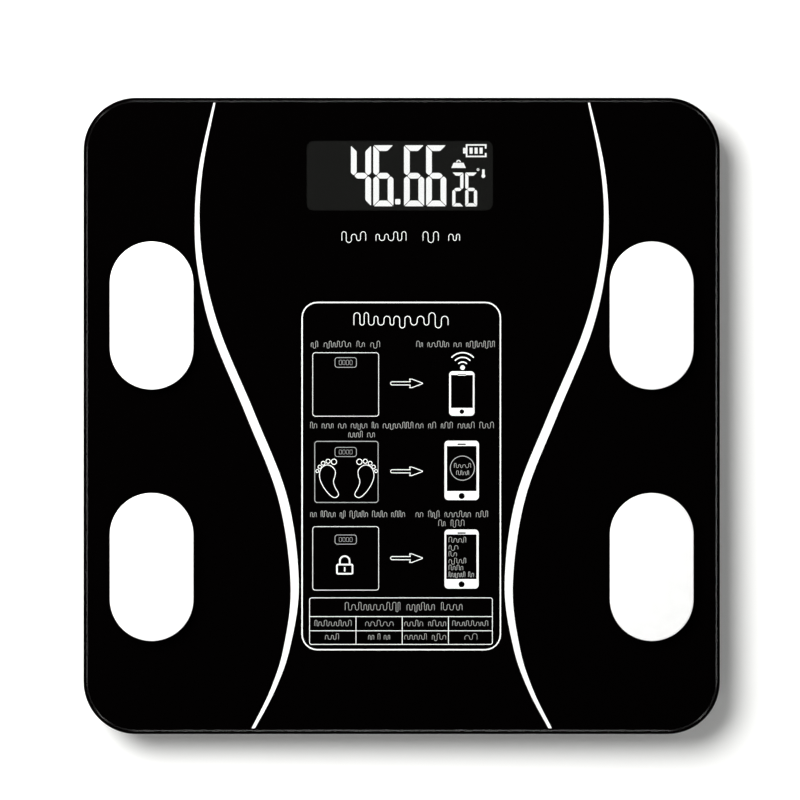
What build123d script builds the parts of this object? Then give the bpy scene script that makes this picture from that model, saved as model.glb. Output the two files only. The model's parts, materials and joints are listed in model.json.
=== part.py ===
from build123d import *
from math import atan2, cos, pi, radians, sin, tan
import os

# A digital bathroom scale: a square glass platform on a shallow plastic tray, with four
# weighing feet, four steel body electrodes, a display behind the glass, and two AAA cells.
# Millimetres. The origin is the middle of the footprint, on the floor. +X is to the user's
# right, +Y runs from the heels towards the toes and the display, and +Z is up.

# --- Driving dimensions ---
SIDE = 260.0                    # the platform's width and depth
CORNER_R = 21.5                 # the platform's corner radius
GLASS_THICK = 5.0
GLASS_BEVEL = 1.5               # the ground edge, measured across the top face
GLASS_BEVEL_DROP = 1.0
INK_INSET = 0.3                 # the black ink stops this far inside the glass's edge
HEIGHT = 24.0                   # from the floor to the top of the electrodes
FOOT_AT = 93.0                  # each foot's distance from both centre lines
MERGE = 1.0                     # how far joined shapes reach into each other

# --- Heights, from the top down ---
ELECTRODE_THICK = 0.3
WHITE_INK = 0.05
BLACK_INK = 0.1
TAPE_THICK = 0.7
GLASS_TOP = HEIGHT - ELECTRODE_THICK
GLASS_BOTTOM = GLASS_TOP - GLASS_THICK
INK_BOTTOM = GLASS_BOTTOM - WHITE_INK - BLACK_INK
RIM_TOP = INK_BOTTOM - TAPE_THICK

# --- The tray ---
TRAY_SIDE = 252.0
TRAY_BOTTOM = 4.0
TRAY_WALL = 2.0
FLOOR_TOP = TRAY_BOTTOM + TRAY_WALL
TRAY_EDGE_R = 3.0               # the round along the tray's bottom edge
RIM_WIDTH = 6.0                 # the flange that the tape lies on
RIM_THICK = 1.5
RIB_THICK = 1.2
RIB_TOP = 8.6
RIB_END = 122.0                 # how far the longest ribs run from the centre lines
GROOVE_DEPTH = 0.5              # the shallow lines moulded in the tray's underside
GROOVE_WIDTH = 1.2
GROOVE_INSET = 12.0
GROOVE_RING_GAP = 5.0           # from a foot's flange to the ring round it
LABEL_RECESS = (84.0, 52.0)     # the blank place for a rating label
LABEL_Y = -48.0
LABEL_CORNER = 3.0

# --- White lines printed behind the glass: two waist curves and a panel's border ---
WAIST_OUTER = [(77.0, 127.9), (84.7, 81.5), (77.5, 34.0), (50.4, -34.0), (48.2, -94.4), (61.4, -127.7)]
WAIST_INNER = [(76.2, 127.9), (82.6, 81.5), (74.0, 34.0), (46.6, -34.0), (45.6, -94.4), (60.0, -127.7)]
PANEL = (81.6, 142.5)
PANEL_AT = (-0.2, -24.6)
PANEL_CORNER = 6.5
PANEL_LINE = 0.6

# --- Electrodes: steel pads on the glass, each with a stud through it ---
ELECTRODE_WIDTH = 34.2
ELECTRODE_LENGTH = 60.5
ELECTRODE_X = 102.1
ELECTRODE_Y = {"toe": 41.0, "heel": -61.7}
STUD_R = 1.5
STUD_BOTTOM = 14.6
STUD_HOLE_R = 2.5
TERMINAL_R = 3.4
TERMINAL_THICK = 0.7
TERMINAL_TAIL = 5.5
NUT_ACROSS = 5.5
NUT_THICK = 2.4
TERMINAL_TAIL_WIDTH = 2.4
THREAD_GAP = 0.05

# --- Feet ---
PAD_R = 18.0
PAD_TOP = 2.3
PAD_CHAMFER = 0.5
PAD_GAP = 0.2
CAP_R = 19.5
CAP_BOTTOM = 1.5
CAP_FLANGE_R = 22.0
CAP_FLANGE_BOTTOM = 6.3
CAP_FLANGE_TOP = 7.5
CAP_FLOOR = 3.8                 # the height of the cap's inner floor
CAP_WALL = 1.8
CAP_RIBS = 6
CAP_RIB_TOP = 7.0
BOSS_R = 6.0
FOOT_GAP = 0.5                  # radial room around the moving foot

# --- Load cells: sprung steel plates with a tongue that each foot presses ---
CELL_SIDE = 34.0
CELL_CORNER = 3.0
CELL_BOTTOM = 10.0
CELL_TOP = 12.0
CELL_FRAME = 4.0                # the width of the plate's outer frame
CELL_SLOT = 1.0
CELL_LEG = 4.0                  # the width of each bending leg
TONGUE_HALF = 6.5
TONGUE_END = 9.0
GAUGE_SIZE = (2.6, 9.0, 1.0)
GAUGE_CORNER = 1.0
SEAT_SIDE = 44.0
SEAT_CORNER = 4.0
SEAT_BOTTOM = 9.6
SEAT_CLEARANCE = 0.5
SEAT_RELIEF = 14.5              # the top of the hollow over the tongue
HOOK_LENGTH = 8.0
HOOK_REACH = 1.3
HOOK_GAP = 0.05
TAPE_PAD = 40.0
WIRE_NOTCH = 7.5                # half the width of the seat's gap for its wires
WIRE_NOTCH_TOP = 10.2

# --- Display ---
DISPLAY_Y = 98.0
WINDOW = (76.4, 28.6)
WINDOW_X = -0.9
WINDOW_Y = DISPLAY_Y + 0.3
WINDOW_CORNER = 3.0
GASKET = (82.0, 34.0)
GASKET_RIM = 1.8
GASKET_THICK = 0.5
LCD = (80.0, 33.0)
LCD_THICK = 2.55
BACKLIGHT = (77.0, 28.6)
BACKLIGHT_Y = DISPLAY_Y + 1.2
BACKLIGHT_THICK = 2.7
ZEBRA = (72.0, 1.8)
ZEBRA_Y = 82.9
BOARD = (90.0, 41.0)
BOARD_BOTTOM = 10.2
BOARD_TOP = 11.8
LCD_TOP = INK_BOTTOM - GASKET_THICK
LCD_BOTTOM = LCD_TOP - LCD_THICK
FRAME_CLEARANCE = 0.3
FRAME_DEPTH_GAP = 0.1
FRAME_CORNER = 2.0
BOARD_CORNER = 1.5
SCREW_X = 42.8
SCREW_Y = 18.6                  # from the display's middle
SCREW_R = 1.0
SCREW_HEAD_R = 1.9
SCREW_HEAD = 1.3
SCREW_TOP = 16.0
SCREW_ROOM = 0.5                # free depth above each screw's end
SCREW_BOARD_GAP = 0.2
SCREW_SLOT = (2.4, 0.5, 0.6)
CHIP_PART = (1.3, 2.0, 0.8)     # a chip resistor's width, length and height

# --- Unit button and its switch ---
BUTTON_X = 30.0
BUTTON_R = 4.0
BUTTON_FLANGE_R = 5.5
BUTTON_BOTTOM = 4.3
BUTTON_FLANGE_BOTTOM = 6.2
BUTTON_TOP = 7.0
BUTTON_GAP = 0.2
SWITCH_SIDE = 6.0
SWITCH_BOTTOM = 7.7
PLUNGER_R = 1.6
PLUNGER_TOP = 8.2
PLUNGER_BORE_TOP = 9.0
PLUNGER_GAP = 0.15
BUTTON_ROUND = 0.5

# --- Battery bay ---
CELL_AAA_R = 5.25
CELL_AAA_LENGTH = 43.5
CELL_AAA_NUB = 1.0
CELL_AAA_NUB_R = 1.9
CELL_AAA_Z = 11.15
CELL_AAA_ROUND = 0.6
BAY_Y = 35.0
CELL_PITCH = 11.0
BAY_HALF_X = 25.5
BAY_HALF_Y = 11.2
BAY_WALL = 1.6
BAY_TOP = 16.7
BAY_ROOF = 1.0
BAY_LIP = (60.0, 31.6)
BAY_LIP_TOP = 7.5
DOOR_HALF_X = 27.3
DOOR_PIVOT_Y = 21.5
DOOR_FAR_Y = 49.0
DOOR_AXIS_Z = 5.0
DOOR_THICK = 1.6
DOOR_GAP = 0.3
DOOR_CEILING = 5.9              # the ledge that the closed door lies under
PIN_R = 0.65
PIN_REACH = 1.7
PIN_GAP = 0.1
LATCH_HALF = 6.0
LATCH_TOP = 11.3
LATCH_WALL = 0.8
LATCH_ROOM = 1.5                # free space round the snap finger
LATCH_STEP = 0.3                # how far the finger stands past the door's edge
LATCH_SLOT = 0.6                # beside the finger
CATCH_REACH = 0.7
CATCH_HEIGHT = 0.7
GRIP_GROOVES = 4
GRIP_PITCH = 1.6
GRIP_SIZE = (0.8, 0.4)
GRIP_FROM_EDGE = 6.0
CONTACT_THICK = 0.3
CONTACT_GAP = 0.1
CONTACT_HEIGHT = (7.0, 15.4)
CONTACT_ROW_WIDTH = 9.5
SPRING_R = (3.6, 2.2)           # at the plate and at the cell
SPRING_LENGTH = 2.5
SPRING_WALL = 0.6
DIMPLE_R = 2.5
TAB_HEIGHT = (8.4, 10.4)
TAB_END = 31.0
TAB_SLOT = 1.2
TAB_GAP = 0.3

# --- Wires ---
WIRE_R = 0.5
WIRE_PITCH = 1.6
WIRE_Z = 9.3
WIRE_SPLICE = 13.5              # from a load cell's middle to where its wires start
CONNECTOR_Y = 79.0
CONNECTOR_DEPTH = 5.0
CONNECTOR_BOTTOM = 7.9

ENDS = {"toe": 1, "heel": -1}
SIDES = {"left": -1, "right": 1}


# --- Shapes that repeat ---
def plate(width, depth, bottom, top, x=0.0, y=0.0, corner=0.0):
    """A flat plate with rounded corners in plan, between two heights."""
    outline = RectangleRounded(width, depth, corner) if corner else Rectangle(width, depth)
    return Pos(x, y, bottom) * extrude(outline, top - bottom)


def block(low, high):
    """A box from its lowest corner to its highest."""
    size = [b - a for a, b in zip(low, high)]
    return Pos(*low) * Box(*size, align=(Align.MIN, Align.MIN, Align.MIN))


def disc(radius, bottom, top, x=0.0, y=0.0):
    return Pos(x, y, bottom) * extrude(Circle(radius), top - bottom)


def corners():
    """The four corners as (name, X sign, Y sign)."""
    return [(f"{e}_{s}", SIDES[s], ENDS[e]) for e in ENDS for s in SIDES]


def stud_places():
    return [(sx * ELECTRODE_X, ELECTRODE_Y[end]) for end in ENDS for sx in SIDES.values()]


def save(name, *solids):
    """One file for each sub-part. Separate solids stay separate in it."""
    shape = solids[0] if len(solids) == 1 else Compound(children=list(solids))
    export_step(shape, f"parts/{name}.step")


# --- Glass and its printing ---
def glass_platform():
    slab = plate(SIDE, SIDE, GLASS_BOTTOM, GLASS_TOP, corner=CORNER_R)
    top_edges = slab.faces().sort_by(Axis.Z)[-1].edges()
    slab = chamfer(top_edges, GLASS_BEVEL_DROP, GLASS_BEVEL)
    for x, y in stud_places():
        slab -= disc(STUD_HOLE_R, GLASS_BOTTOM, GLASS_TOP, x, y)
    return slab


def black_print():
    """The black ink behind the glass, with a clear window for the display."""
    side = SIDE - 2 * INK_INSET
    top = GLASS_BOTTOM - WHITE_INK
    ink = plate(side, side, INK_BOTTOM, top, corner=CORNER_R - INK_INSET)
    ink -= plate(*WINDOW, INK_BOTTOM, top, WINDOW_X, WINDOW_Y, WINDOW_CORNER)
    for x, y in stud_places():
        ink -= disc(STUD_HOLE_R, INK_BOTTOM, top, x, y)
    return ink


def waist_line(side):
    """One of the two long curves that narrow towards the heels, a tapering stripe."""
    outside = Spline(*[(side * x, y) for x, y in WAIST_OUTER])
    inside = Spline(*[(side * x, y) for x, y in WAIST_INNER])
    ends = [Line(outside @ 0, inside @ 0), Line(outside @ 1, inside @ 1)]
    stripe = make_face([outside, inside, *ends])
    stripe = extrude(stripe, WHITE_INK, dir=(0, 0, 1))
    return Pos(0, 0, GLASS_BOTTOM - WHITE_INK) * stripe


def panel_outline():
    """The rounded border of the instruction panel."""
    bottom = GLASS_BOTTOM - WHITE_INK
    border = plate(*PANEL, bottom, GLASS_BOTTOM, *PANEL_AT, PANEL_CORNER)
    inner = [size - 2 * PANEL_LINE for size in PANEL]
    corner = PANEL_CORNER - PANEL_LINE
    return border - plate(*inner, bottom, GLASS_BOTTOM, *PANEL_AT, corner)


# --- Electrodes ---
def electrode(x, y):
    outline = SlotOverall(ELECTRODE_LENGTH, ELECTRODE_WIDTH, rotation=90)
    pad = Pos(x, y, GLASS_TOP) * extrude(outline, ELECTRODE_THICK)
    return pad + disc(STUD_R, STUD_BOTTOM, HEIGHT - ELECTRODE_THICK / 2, x, y)


def terminal(x, y):
    """A ring terminal under the glass, with a tail towards the middle of the scale."""
    top = INK_BOTTOM - CONTACT_GAP
    bottom = top - TERMINAL_THICK
    tail_x = x - TERMINAL_TAIL / 2 * (1 if x > 0 else -1)
    ring = disc(TERMINAL_R, bottom, top, x, y)
    ring += plate(TERMINAL_TAIL, TERMINAL_TAIL_WIDTH, bottom, top, tail_x, y)
    return ring - disc(STUD_R + CONTACT_GAP, bottom, top, x, y)


def stud_nut(x, y):
    top = INK_BOTTOM - CONTACT_GAP - TERMINAL_THICK
    hexagon = RegularPolygon(NUT_ACROSS / 2, 6, major_radius=False)
    nut = Pos(x, y, top - NUT_THICK) * extrude(hexagon, NUT_THICK)
    return nut - disc(STUD_R + THREAD_GAP, top - NUT_THICK, top, x, y)


# --- Tape and tray ---
def bonding_tape():
    """Foam tape on the tray's rim, and a square of it on each load cell's seat."""
    inner = TRAY_SIDE - 2 * RIM_WIDTH
    corner = CORNER_R - (SIDE - TRAY_SIDE) / 2
    ring = plate(TRAY_SIDE, TRAY_SIDE, RIM_TOP, INK_BOTTOM, corner=corner)
    ring -= plate(inner, inner, RIM_TOP, INK_BOTTOM, corner=corner - RIM_WIDTH)
    pads = [
        plate(TAPE_PAD, TAPE_PAD, RIM_TOP, INK_BOTTOM, sx * FOOT_AT, sy * FOOT_AT, SEAT_CORNER)
        for _, sx, sy in corners()
    ]
    return [ring, *pads]


def tray_ribs():
    """Low ribs that stiffen the tray's floor."""
    across = [(-30.0, RIB_END), (5.0, RIB_END), (65.0, RIB_END), (-84.0, 66.0)]
    along = [(-50.0, -RIB_END, 65.0), (50.0, -RIB_END, 65.0), (0.0, -RIB_END, 5.0)]
    ribs = [
        block((-half, y - RIB_THICK / 2, TRAY_BOTTOM + MERGE), (half, y + RIB_THICK / 2, RIB_TOP))
        for y, half in across
    ]
    ribs += [
        block((x - RIB_THICK / 2, start, TRAY_BOTTOM + MERGE), (x + RIB_THICK / 2, end, RIB_TOP))
        for x, start, end in along
    ]
    return ribs


def battery_bay():
    """The bay's walls, roof and bottom lip, still solid inside."""
    walls = plate(2 * (BAY_HALF_X + BAY_WALL), 2 * (BAY_HALF_Y + BAY_WALL),
                  FLOOR_TOP - MERGE, BAY_TOP + BAY_ROOF, y=BAY_Y)
    half = LATCH_HALF + LATCH_ROOM + BAY_WALL
    latch_end = DOOR_FAR_Y + LATCH_ROOM + BAY_WALL
    latch_roof = LATCH_TOP + LATCH_ROOM + BAY_ROOF
    latch = block((-half, BAY_Y, FLOOR_TOP - MERGE), (half, latch_end, latch_roof))
    return walls + latch + plate(*BAY_LIP, FLOOR_TOP - MERGE, BAY_LIP_TOP, y=BAY_Y)


def bay_hollows():
    """What is cut from the tray for the cells, the door, its pins and its latch."""
    cavity = plate(2 * BAY_HALF_X, 2 * BAY_HALF_Y, TRAY_BOTTOM, BAY_TOP, y=BAY_Y)
    near = DOOR_PIVOT_Y - DOOR_THICK / 2 - DOOR_GAP
    side = DOOR_HALF_X + DOOR_GAP
    pocket = block((-side, near, TRAY_BOTTOM), (side, DOOR_FAR_Y + DOOR_GAP, DOOR_CEILING))
    room = LATCH_HALF + LATCH_ROOM
    latch = block((-room, BAY_Y + BAY_HALF_Y, TRAY_BOTTOM),
                  (room, DOOR_FAR_Y + LATCH_ROOM, LATCH_TOP + LATCH_ROOM))
    socket_half = DOOR_HALF_X + PIN_REACH + DOOR_GAP
    sockets = Cylinder(PIN_R + PIN_GAP, 2 * socket_half, rotation=(0, 90, 0))
    sockets = Pos(0, DOOR_PIVOT_Y, DOOR_AXIS_Z) * sockets
    slots = [
        block((BAY_HALF_X, y - TAB_SLOT / 2, TAB_HEIGHT[0] - TAB_GAP),
              (TAB_END, y + TAB_SLOT / 2, TAB_HEIGHT[1] + TAB_GAP))
        for y in cell_rows()
    ]
    return [cavity, pocket, latch, sockets, *slots]


def underside_lines():
    """A square line near the edge, a ring round each foot and the label's recess."""
    top = TRAY_BOTTOM + GROOVE_DEPTH
    side = TRAY_SIDE - 2 * GROOVE_INSET
    inner = side - 2 * GROOVE_WIDTH
    line = plate(side, side, TRAY_BOTTOM, top, corner=CORNER_R)
    line -= plate(inner, inner, TRAY_BOTTOM, top, corner=CORNER_R - GROOVE_WIDTH)
    wide = CAP_FLANGE_R + GROOVE_RING_GAP
    for _, sx, sy in corners():
        line -= disc(wide + GROOVE_WIDTH, TRAY_BOTTOM, top, sx * FOOT_AT, sy * FOOT_AT)
    rings = [
        disc(wide, TRAY_BOTTOM, top, sx * FOOT_AT, sy * FOOT_AT)
        - disc(wide - GROOVE_WIDTH, TRAY_BOTTOM, top, sx * FOOT_AT, sy * FOOT_AT)
        for _, sx, sy in corners()
    ]
    return [line, *rings, plate(*LABEL_RECESS, TRAY_BOTTOM, top, y=LABEL_Y, corner=LABEL_CORNER)]


def base_tray():
    side, corner = TRAY_SIDE, CORNER_R - (SIDE - TRAY_SIDE) / 2
    tray = plate(side, side, TRAY_BOTTOM, RIM_TOP, corner=corner)
    tray = fillet(tray.faces().sort_by(Axis.Z)[0].edges(), TRAY_EDGE_R)
    inner = side - 2 * TRAY_WALL
    tray -= plate(inner, inner, FLOOR_TOP, RIM_TOP - RIM_THICK, corner=corner - TRAY_WALL)
    mouth = side - 2 * RIM_WIDTH
    tray -= plate(mouth, mouth, FLOOR_TOP, RIM_TOP, corner=corner - RIM_WIDTH)
    for rib in tray_ribs():
        tray += rib
    tray += battery_bay()
    ring_r = CAP_FLANGE_R + FOOT_GAP
    for _, sx, sy in corners():
        tray += disc(ring_r + CAP_WALL, TRAY_BOTTOM + MERGE, RIB_TOP, sx * FOOT_AT, sy * FOOT_AT)
    for _, sx, sy in corners():
        tray -= disc(ring_r, FLOOR_TOP, RIM_TOP, sx * FOOT_AT, sy * FOOT_AT)
        tray -= disc(CAP_R + FOOT_GAP, TRAY_BOTTOM, FLOOR_TOP, sx * FOOT_AT, sy * FOOT_AT)
    guide_r = BUTTON_FLANGE_R + BUTTON_GAP
    tray += disc(guide_r + RIB_THICK, TRAY_BOTTOM + MERGE, BUTTON_TOP, BUTTON_X, DISPLAY_Y)
    tray -= disc(guide_r, FLOOR_TOP, RIM_TOP, BUTTON_X, DISPLAY_Y)
    tray -= disc(BUTTON_R + BUTTON_GAP, TRAY_BOTTOM, FLOOR_TOP, BUTTON_X, DISPLAY_Y)
    for hollow in [*bay_hollows(), *underside_lines()]:
        tray -= hollow
    return tray


# --- Feet and load cells ---
def foot_pad(x, y):
    pad = disc(PAD_R, 0, PAD_TOP)
    return Pos(x, y) * chamfer(pad.faces().sort_by(Axis.Z)[0].edges(), PAD_CHAMFER)


def foot_cap(x, y):
    """The moving cap: a cup with a flange above the tray's floor and a boss to the tongue."""
    cap = disc(CAP_R, CAP_BOTTOM, CAP_FLANGE_BOTTOM)
    cap += disc(CAP_FLANGE_R, CAP_FLANGE_BOTTOM, CAP_FLANGE_TOP)
    cap -= disc(CAP_R - CAP_WALL, CAP_FLOOR, CAP_FLANGE_TOP)
    cap -= disc(PAD_R + PAD_GAP, CAP_BOTTOM, PAD_TOP)
    cap += disc(BOSS_R, CAP_FLOOR - MERGE, CELL_BOTTOM)
    for k in range(CAP_RIBS):
        rib = block((BOSS_R - MERGE, -RIB_THICK / 2, CAP_FLOOR - MERGE),
                    (CAP_R - MERGE, RIB_THICK / 2, CAP_RIB_TOP))
        cap += Rot(0, 0, 360 * k / CAP_RIBS) * rib
    return Pos(x, y) * cap


def load_cell():
    """A steel plate cut so that two legs carry a middle tongue. Its wires leave at -Y."""
    inner = CELL_SIDE / 2 - CELL_FRAME
    paddle = inner - CELL_SLOT
    leg_in = paddle - CELL_LEG
    cell = plate(CELL_SIDE, CELL_SIDE, CELL_BOTTOM, CELL_TOP, corner=CELL_CORNER)
    for low, high in [
        ((-inner, -inner), (-paddle, inner)),
        ((paddle, -inner), (inner, inner)),
        ((-inner, paddle), (inner, inner)),
        ((-leg_in, -inner), (-TONGUE_HALF, leg_in)),
        ((TONGUE_HALF, -inner), (leg_in, leg_in)),
        ((-leg_in, -inner), (leg_in, -TONGUE_END)),
    ]:
        cell -= block((*low, CELL_BOTTOM), (*high, CELL_TOP))
    return cell


def strain_gauge():
    """The sealed gauge on one of the cell's legs."""
    x = CELL_SIDE / 2 - CELL_FRAME - CELL_SLOT - CELL_LEG / 2
    width, length, height = GAUGE_SIZE
    return plate(width, length, CELL_TOP, CELL_TOP + height, x=x, corner=GAUGE_CORNER)


def sensor_seat():
    """The block between a load cell and the glass, with hooks that hold the cell."""
    seat = plate(SEAT_SIDE, SEAT_SIDE, SEAT_BOTTOM, RIM_TOP, corner=SEAT_CORNER)
    pocket = CELL_SIDE + 2 * SEAT_CLEARANCE
    seat -= plate(pocket, pocket, SEAT_BOTTOM, CELL_TOP, corner=CELL_CORNER)
    relief = CELL_SIDE - 2 * CELL_FRAME + 2 * SEAT_CLEARANCE
    seat -= plate(relief, relief, CELL_TOP, SEAT_RELIEF)
    seat -= block((-WIRE_NOTCH, -SEAT_SIDE / 2, SEAT_BOTTOM), (WIRE_NOTCH, 0, WIRE_NOTCH_TOP))
    hook = block((pocket / 2 - HOOK_REACH, -HOOK_LENGTH / 2, SEAT_BOTTOM),
                 (pocket / 2 + MERGE, HOOK_LENGTH / 2, CELL_BOTTOM - HOOK_GAP))
    for angle in (0, 90, 180):
        seat += Rot(0, 0, angle) * hook
    return seat


def at_corner(solid, sx, sy):
    """Places a load cell's piece over its foot, with its -Y side towards the scale's middle."""
    turn = 0 if sy > 0 else 180
    return Pos(sx * FOOT_AT, sy * FOOT_AT) * Rot(0, 0, turn) * solid


# --- Display and its circuit board ---
def display_gasket():
    inner = (GASKET[0] - 2 * GASKET_RIM, GASKET[1] - 2 * GASKET_RIM)
    gasket = plate(*GASKET, LCD_TOP, INK_BOTTOM, y=DISPLAY_Y)
    return gasket - plate(*inner, LCD_TOP, INK_BOTTOM, y=DISPLAY_Y)


def screw_places():
    return [(sx * SCREW_X, DISPLAY_Y + sy * SCREW_Y) for _, sx, sy in corners()]


def display_frame():
    """The plastic frame that holds the display, its light guide and the circuit board."""
    gap = 2 * FRAME_CLEARANCE
    frame = plate(*BOARD, BOARD_TOP, LCD_TOP, y=DISPLAY_Y, corner=FRAME_CORNER)
    lcd_seat = LCD_BOTTOM - FRAME_DEPTH_GAP
    frame -= plate(LCD[0] + gap, LCD[1] + gap, lcd_seat, LCD_TOP, y=DISPLAY_Y)
    backlight_bottom = lcd_seat - BACKLIGHT_THICK
    frame -= plate(BACKLIGHT[0] + gap, BACKLIGHT[1] + gap, backlight_bottom, LCD_TOP, y=BACKLIGHT_Y)
    frame -= plate(ZEBRA[0] + gap, ZEBRA[1] + gap, BOARD_TOP, LCD_TOP, y=ZEBRA_Y)
    for x, y in screw_places():
        frame -= disc(SCREW_R + THREAD_GAP, BOARD_TOP, SCREW_TOP + SCREW_ROOM, x, y)
    return frame


def main_circuit_board():
    board = plate(*BOARD, BOARD_BOTTOM, BOARD_TOP, y=DISPLAY_Y, corner=BOARD_CORNER)
    for x, y in screw_places():
        board -= disc(SCREW_R + SCREW_BOARD_GAP, BOARD_BOTTOM, BOARD_TOP, x, y)
    return board


def board_screw(x, y):
    head = BOARD_BOTTOM - SCREW_HEAD
    screw = disc(SCREW_R, BOARD_BOTTOM - SCREW_HEAD / 2, SCREW_TOP, x, y)
    screw += disc(SCREW_HEAD_R, head, BOARD_BOTTOM, x, y)
    length, width, depth = SCREW_SLOT
    slot = plate(length, width, head, head + depth, x, y)
    return screw - slot - Pos(x, y) * Rot(0, 0, 90) * Pos(-x, -y) * slot


def controller_chip():
    """A bare chip under a low round drop of black resin."""
    radius, height, x = 7.0, 1.6, -8.0
    ball_r = (radius**2 + height**2) / (2 * height)
    centre_z = BOARD_BOTTOM - height + ball_r
    ball = Pos(x, DISPLAY_Y, centre_z) * Sphere(ball_r)
    return ball & disc(radius + 1, BOARD_BOTTOM - height, BOARD_BOTTOM, x, DISPLAY_Y)


def wireless_module():
    """A small radio board with a metal can on it."""
    x, y, thick = -31.0, 103.0, 0.8
    module = plate(18.0, 12.0, BOARD_BOTTOM - thick, BOARD_BOTTOM, x, y)
    can_bottom = BOARD_BOTTOM - thick - 1.3
    return module + plate(9.0, 9.0, can_bottom, BOARD_BOTTOM - thick, x + 3.5, y, corner=0.6)


def board_components():
    """Chip resistors and capacitors in two rows, a crystal and two round capacitors."""
    width, length, height = CHIP_PART
    bottom = BOARD_BOTTOM - height
    parts = [plate(width, length, bottom, BOARD_BOTTOM, -16 + 3.2 * k, 89.0) for k in range(10)]
    parts += [plate(length, width, bottom, BOARD_BOTTOM, 4.0, 94 + 3.0 * k) for k in range(7)]
    parts.append(plate(8.0, 3.0, BOARD_BOTTOM - 2.2, BOARD_BOTTOM, 14.0, 110.0, corner=1.4))
    parts += [disc(2.5, BOARD_BOTTOM - 3.0, BOARD_BOTTOM, 12.0 + 7 * k, 99.0) for k in range(2)]
    return parts


def switch_body():
    body = plate(SWITCH_SIDE, SWITCH_SIDE, SWITCH_BOTTOM, BOARD_BOTTOM, BUTTON_X, DISPLAY_Y)
    return body - disc(PLUNGER_R + PLUNGER_GAP, SWITCH_BOTTOM, PLUNGER_BORE_TOP, BUTTON_X, DISPLAY_Y)


def unit_button():
    button = disc(BUTTON_R, BUTTON_BOTTOM, BUTTON_FLANGE_BOTTOM, BUTTON_X, DISPLAY_Y)
    button = fillet(button.faces().sort_by(Axis.Z)[0].edges(), BUTTON_ROUND)
    return button + disc(BUTTON_FLANGE_R, BUTTON_FLANGE_BOTTOM, BUTTON_TOP, BUTTON_X, DISPLAY_Y)


# --- Battery bay pieces ---
def cell_rows():
    """Where the two cells lie: the heel-side one and the toe-side one."""
    return [BAY_Y - CELL_PITCH / 2, BAY_Y + CELL_PITCH / 2]


def along_x(radius, start, end, y, far_radius=None):
    """A round bar or cone along X, from one X to another."""
    turn = (0, 90, 0)
    middle = Pos((start + end) / 2, y, CELL_AAA_Z)
    if far_radius is None:
        return middle * Cylinder(radius, abs(end - start), rotation=turn)
    return middle * Cone(radius, far_radius, abs(end - start), rotation=turn)


def battery(y, nub_side):
    """A size AAA cell with its positive nub towards nub_side."""
    flat_end = BAY_HALF_X - CONTACT_GAP - CONTACT_THICK - SPRING_LENGTH
    start = -nub_side * flat_end
    shoulder = start + nub_side * CELL_AAA_LENGTH
    cell = along_x(CELL_AAA_R, start, shoulder, y)
    cell = fillet(cell.edges().filter_by(GeomType.CIRCLE), CELL_AAA_ROUND)
    nub = along_x(CELL_AAA_NUB_R, shoulder - nub_side, shoulder + nub_side * CELL_AAA_NUB, y)
    return cell + nub


def contact_plate(side, y, width):
    """A nickelled plate at one end of the bay, side -1 or 1."""
    outside = side * (BAY_HALF_X - CONTACT_GAP)
    inside = outside - side * CONTACT_THICK
    low, high = sorted((outside, inside))
    bottom, top = CONTACT_HEIGHT
    return block((low, y - width / 2, bottom), (high, y + width / 2, top))


def contact_spring(side, y):
    """The outer shape of a conical coil, hollow, standing on its plate."""
    base = BAY_HALF_X - CONTACT_GAP - CONTACT_THICK
    tip = base - SPRING_LENGTH
    wide, narrow = SPRING_R
    if side > 0:
        wide, narrow = narrow, wide
        low, high = tip, base + CONTACT_THICK / 2
    else:
        low, high = -base - CONTACT_THICK / 2, -tip
    coil = along_x(wide, low, high, y, narrow)
    return coil - along_x(wide - SPRING_WALL, low, high, y, narrow - SPRING_WALL)


def contact_dimple(side, y):
    """The pressed cup that reaches a cell's positive nub."""
    base = side * (BAY_HALF_X - CONTACT_GAP - CONTACT_THICK / 2)
    flat_end = BAY_HALF_X - CONTACT_GAP - CONTACT_THICK - SPRING_LENGTH
    tip = side * (CELL_AAA_LENGTH + CELL_AAA_NUB - flat_end)
    return along_x(DIMPLE_R, min(base, tip), max(base, tip), y)


def contact_tab(y):
    """The solder tab of a right-hand contact, through its slot in the bay's wall."""
    start = BAY_HALF_X - CONTACT_GAP - CONTACT_THICK
    half = CONTACT_THICK / 2
    return block((start, y - half, TAB_HEIGHT[0]), (TAB_END, y + half, TAB_HEIGHT[1]))


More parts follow.
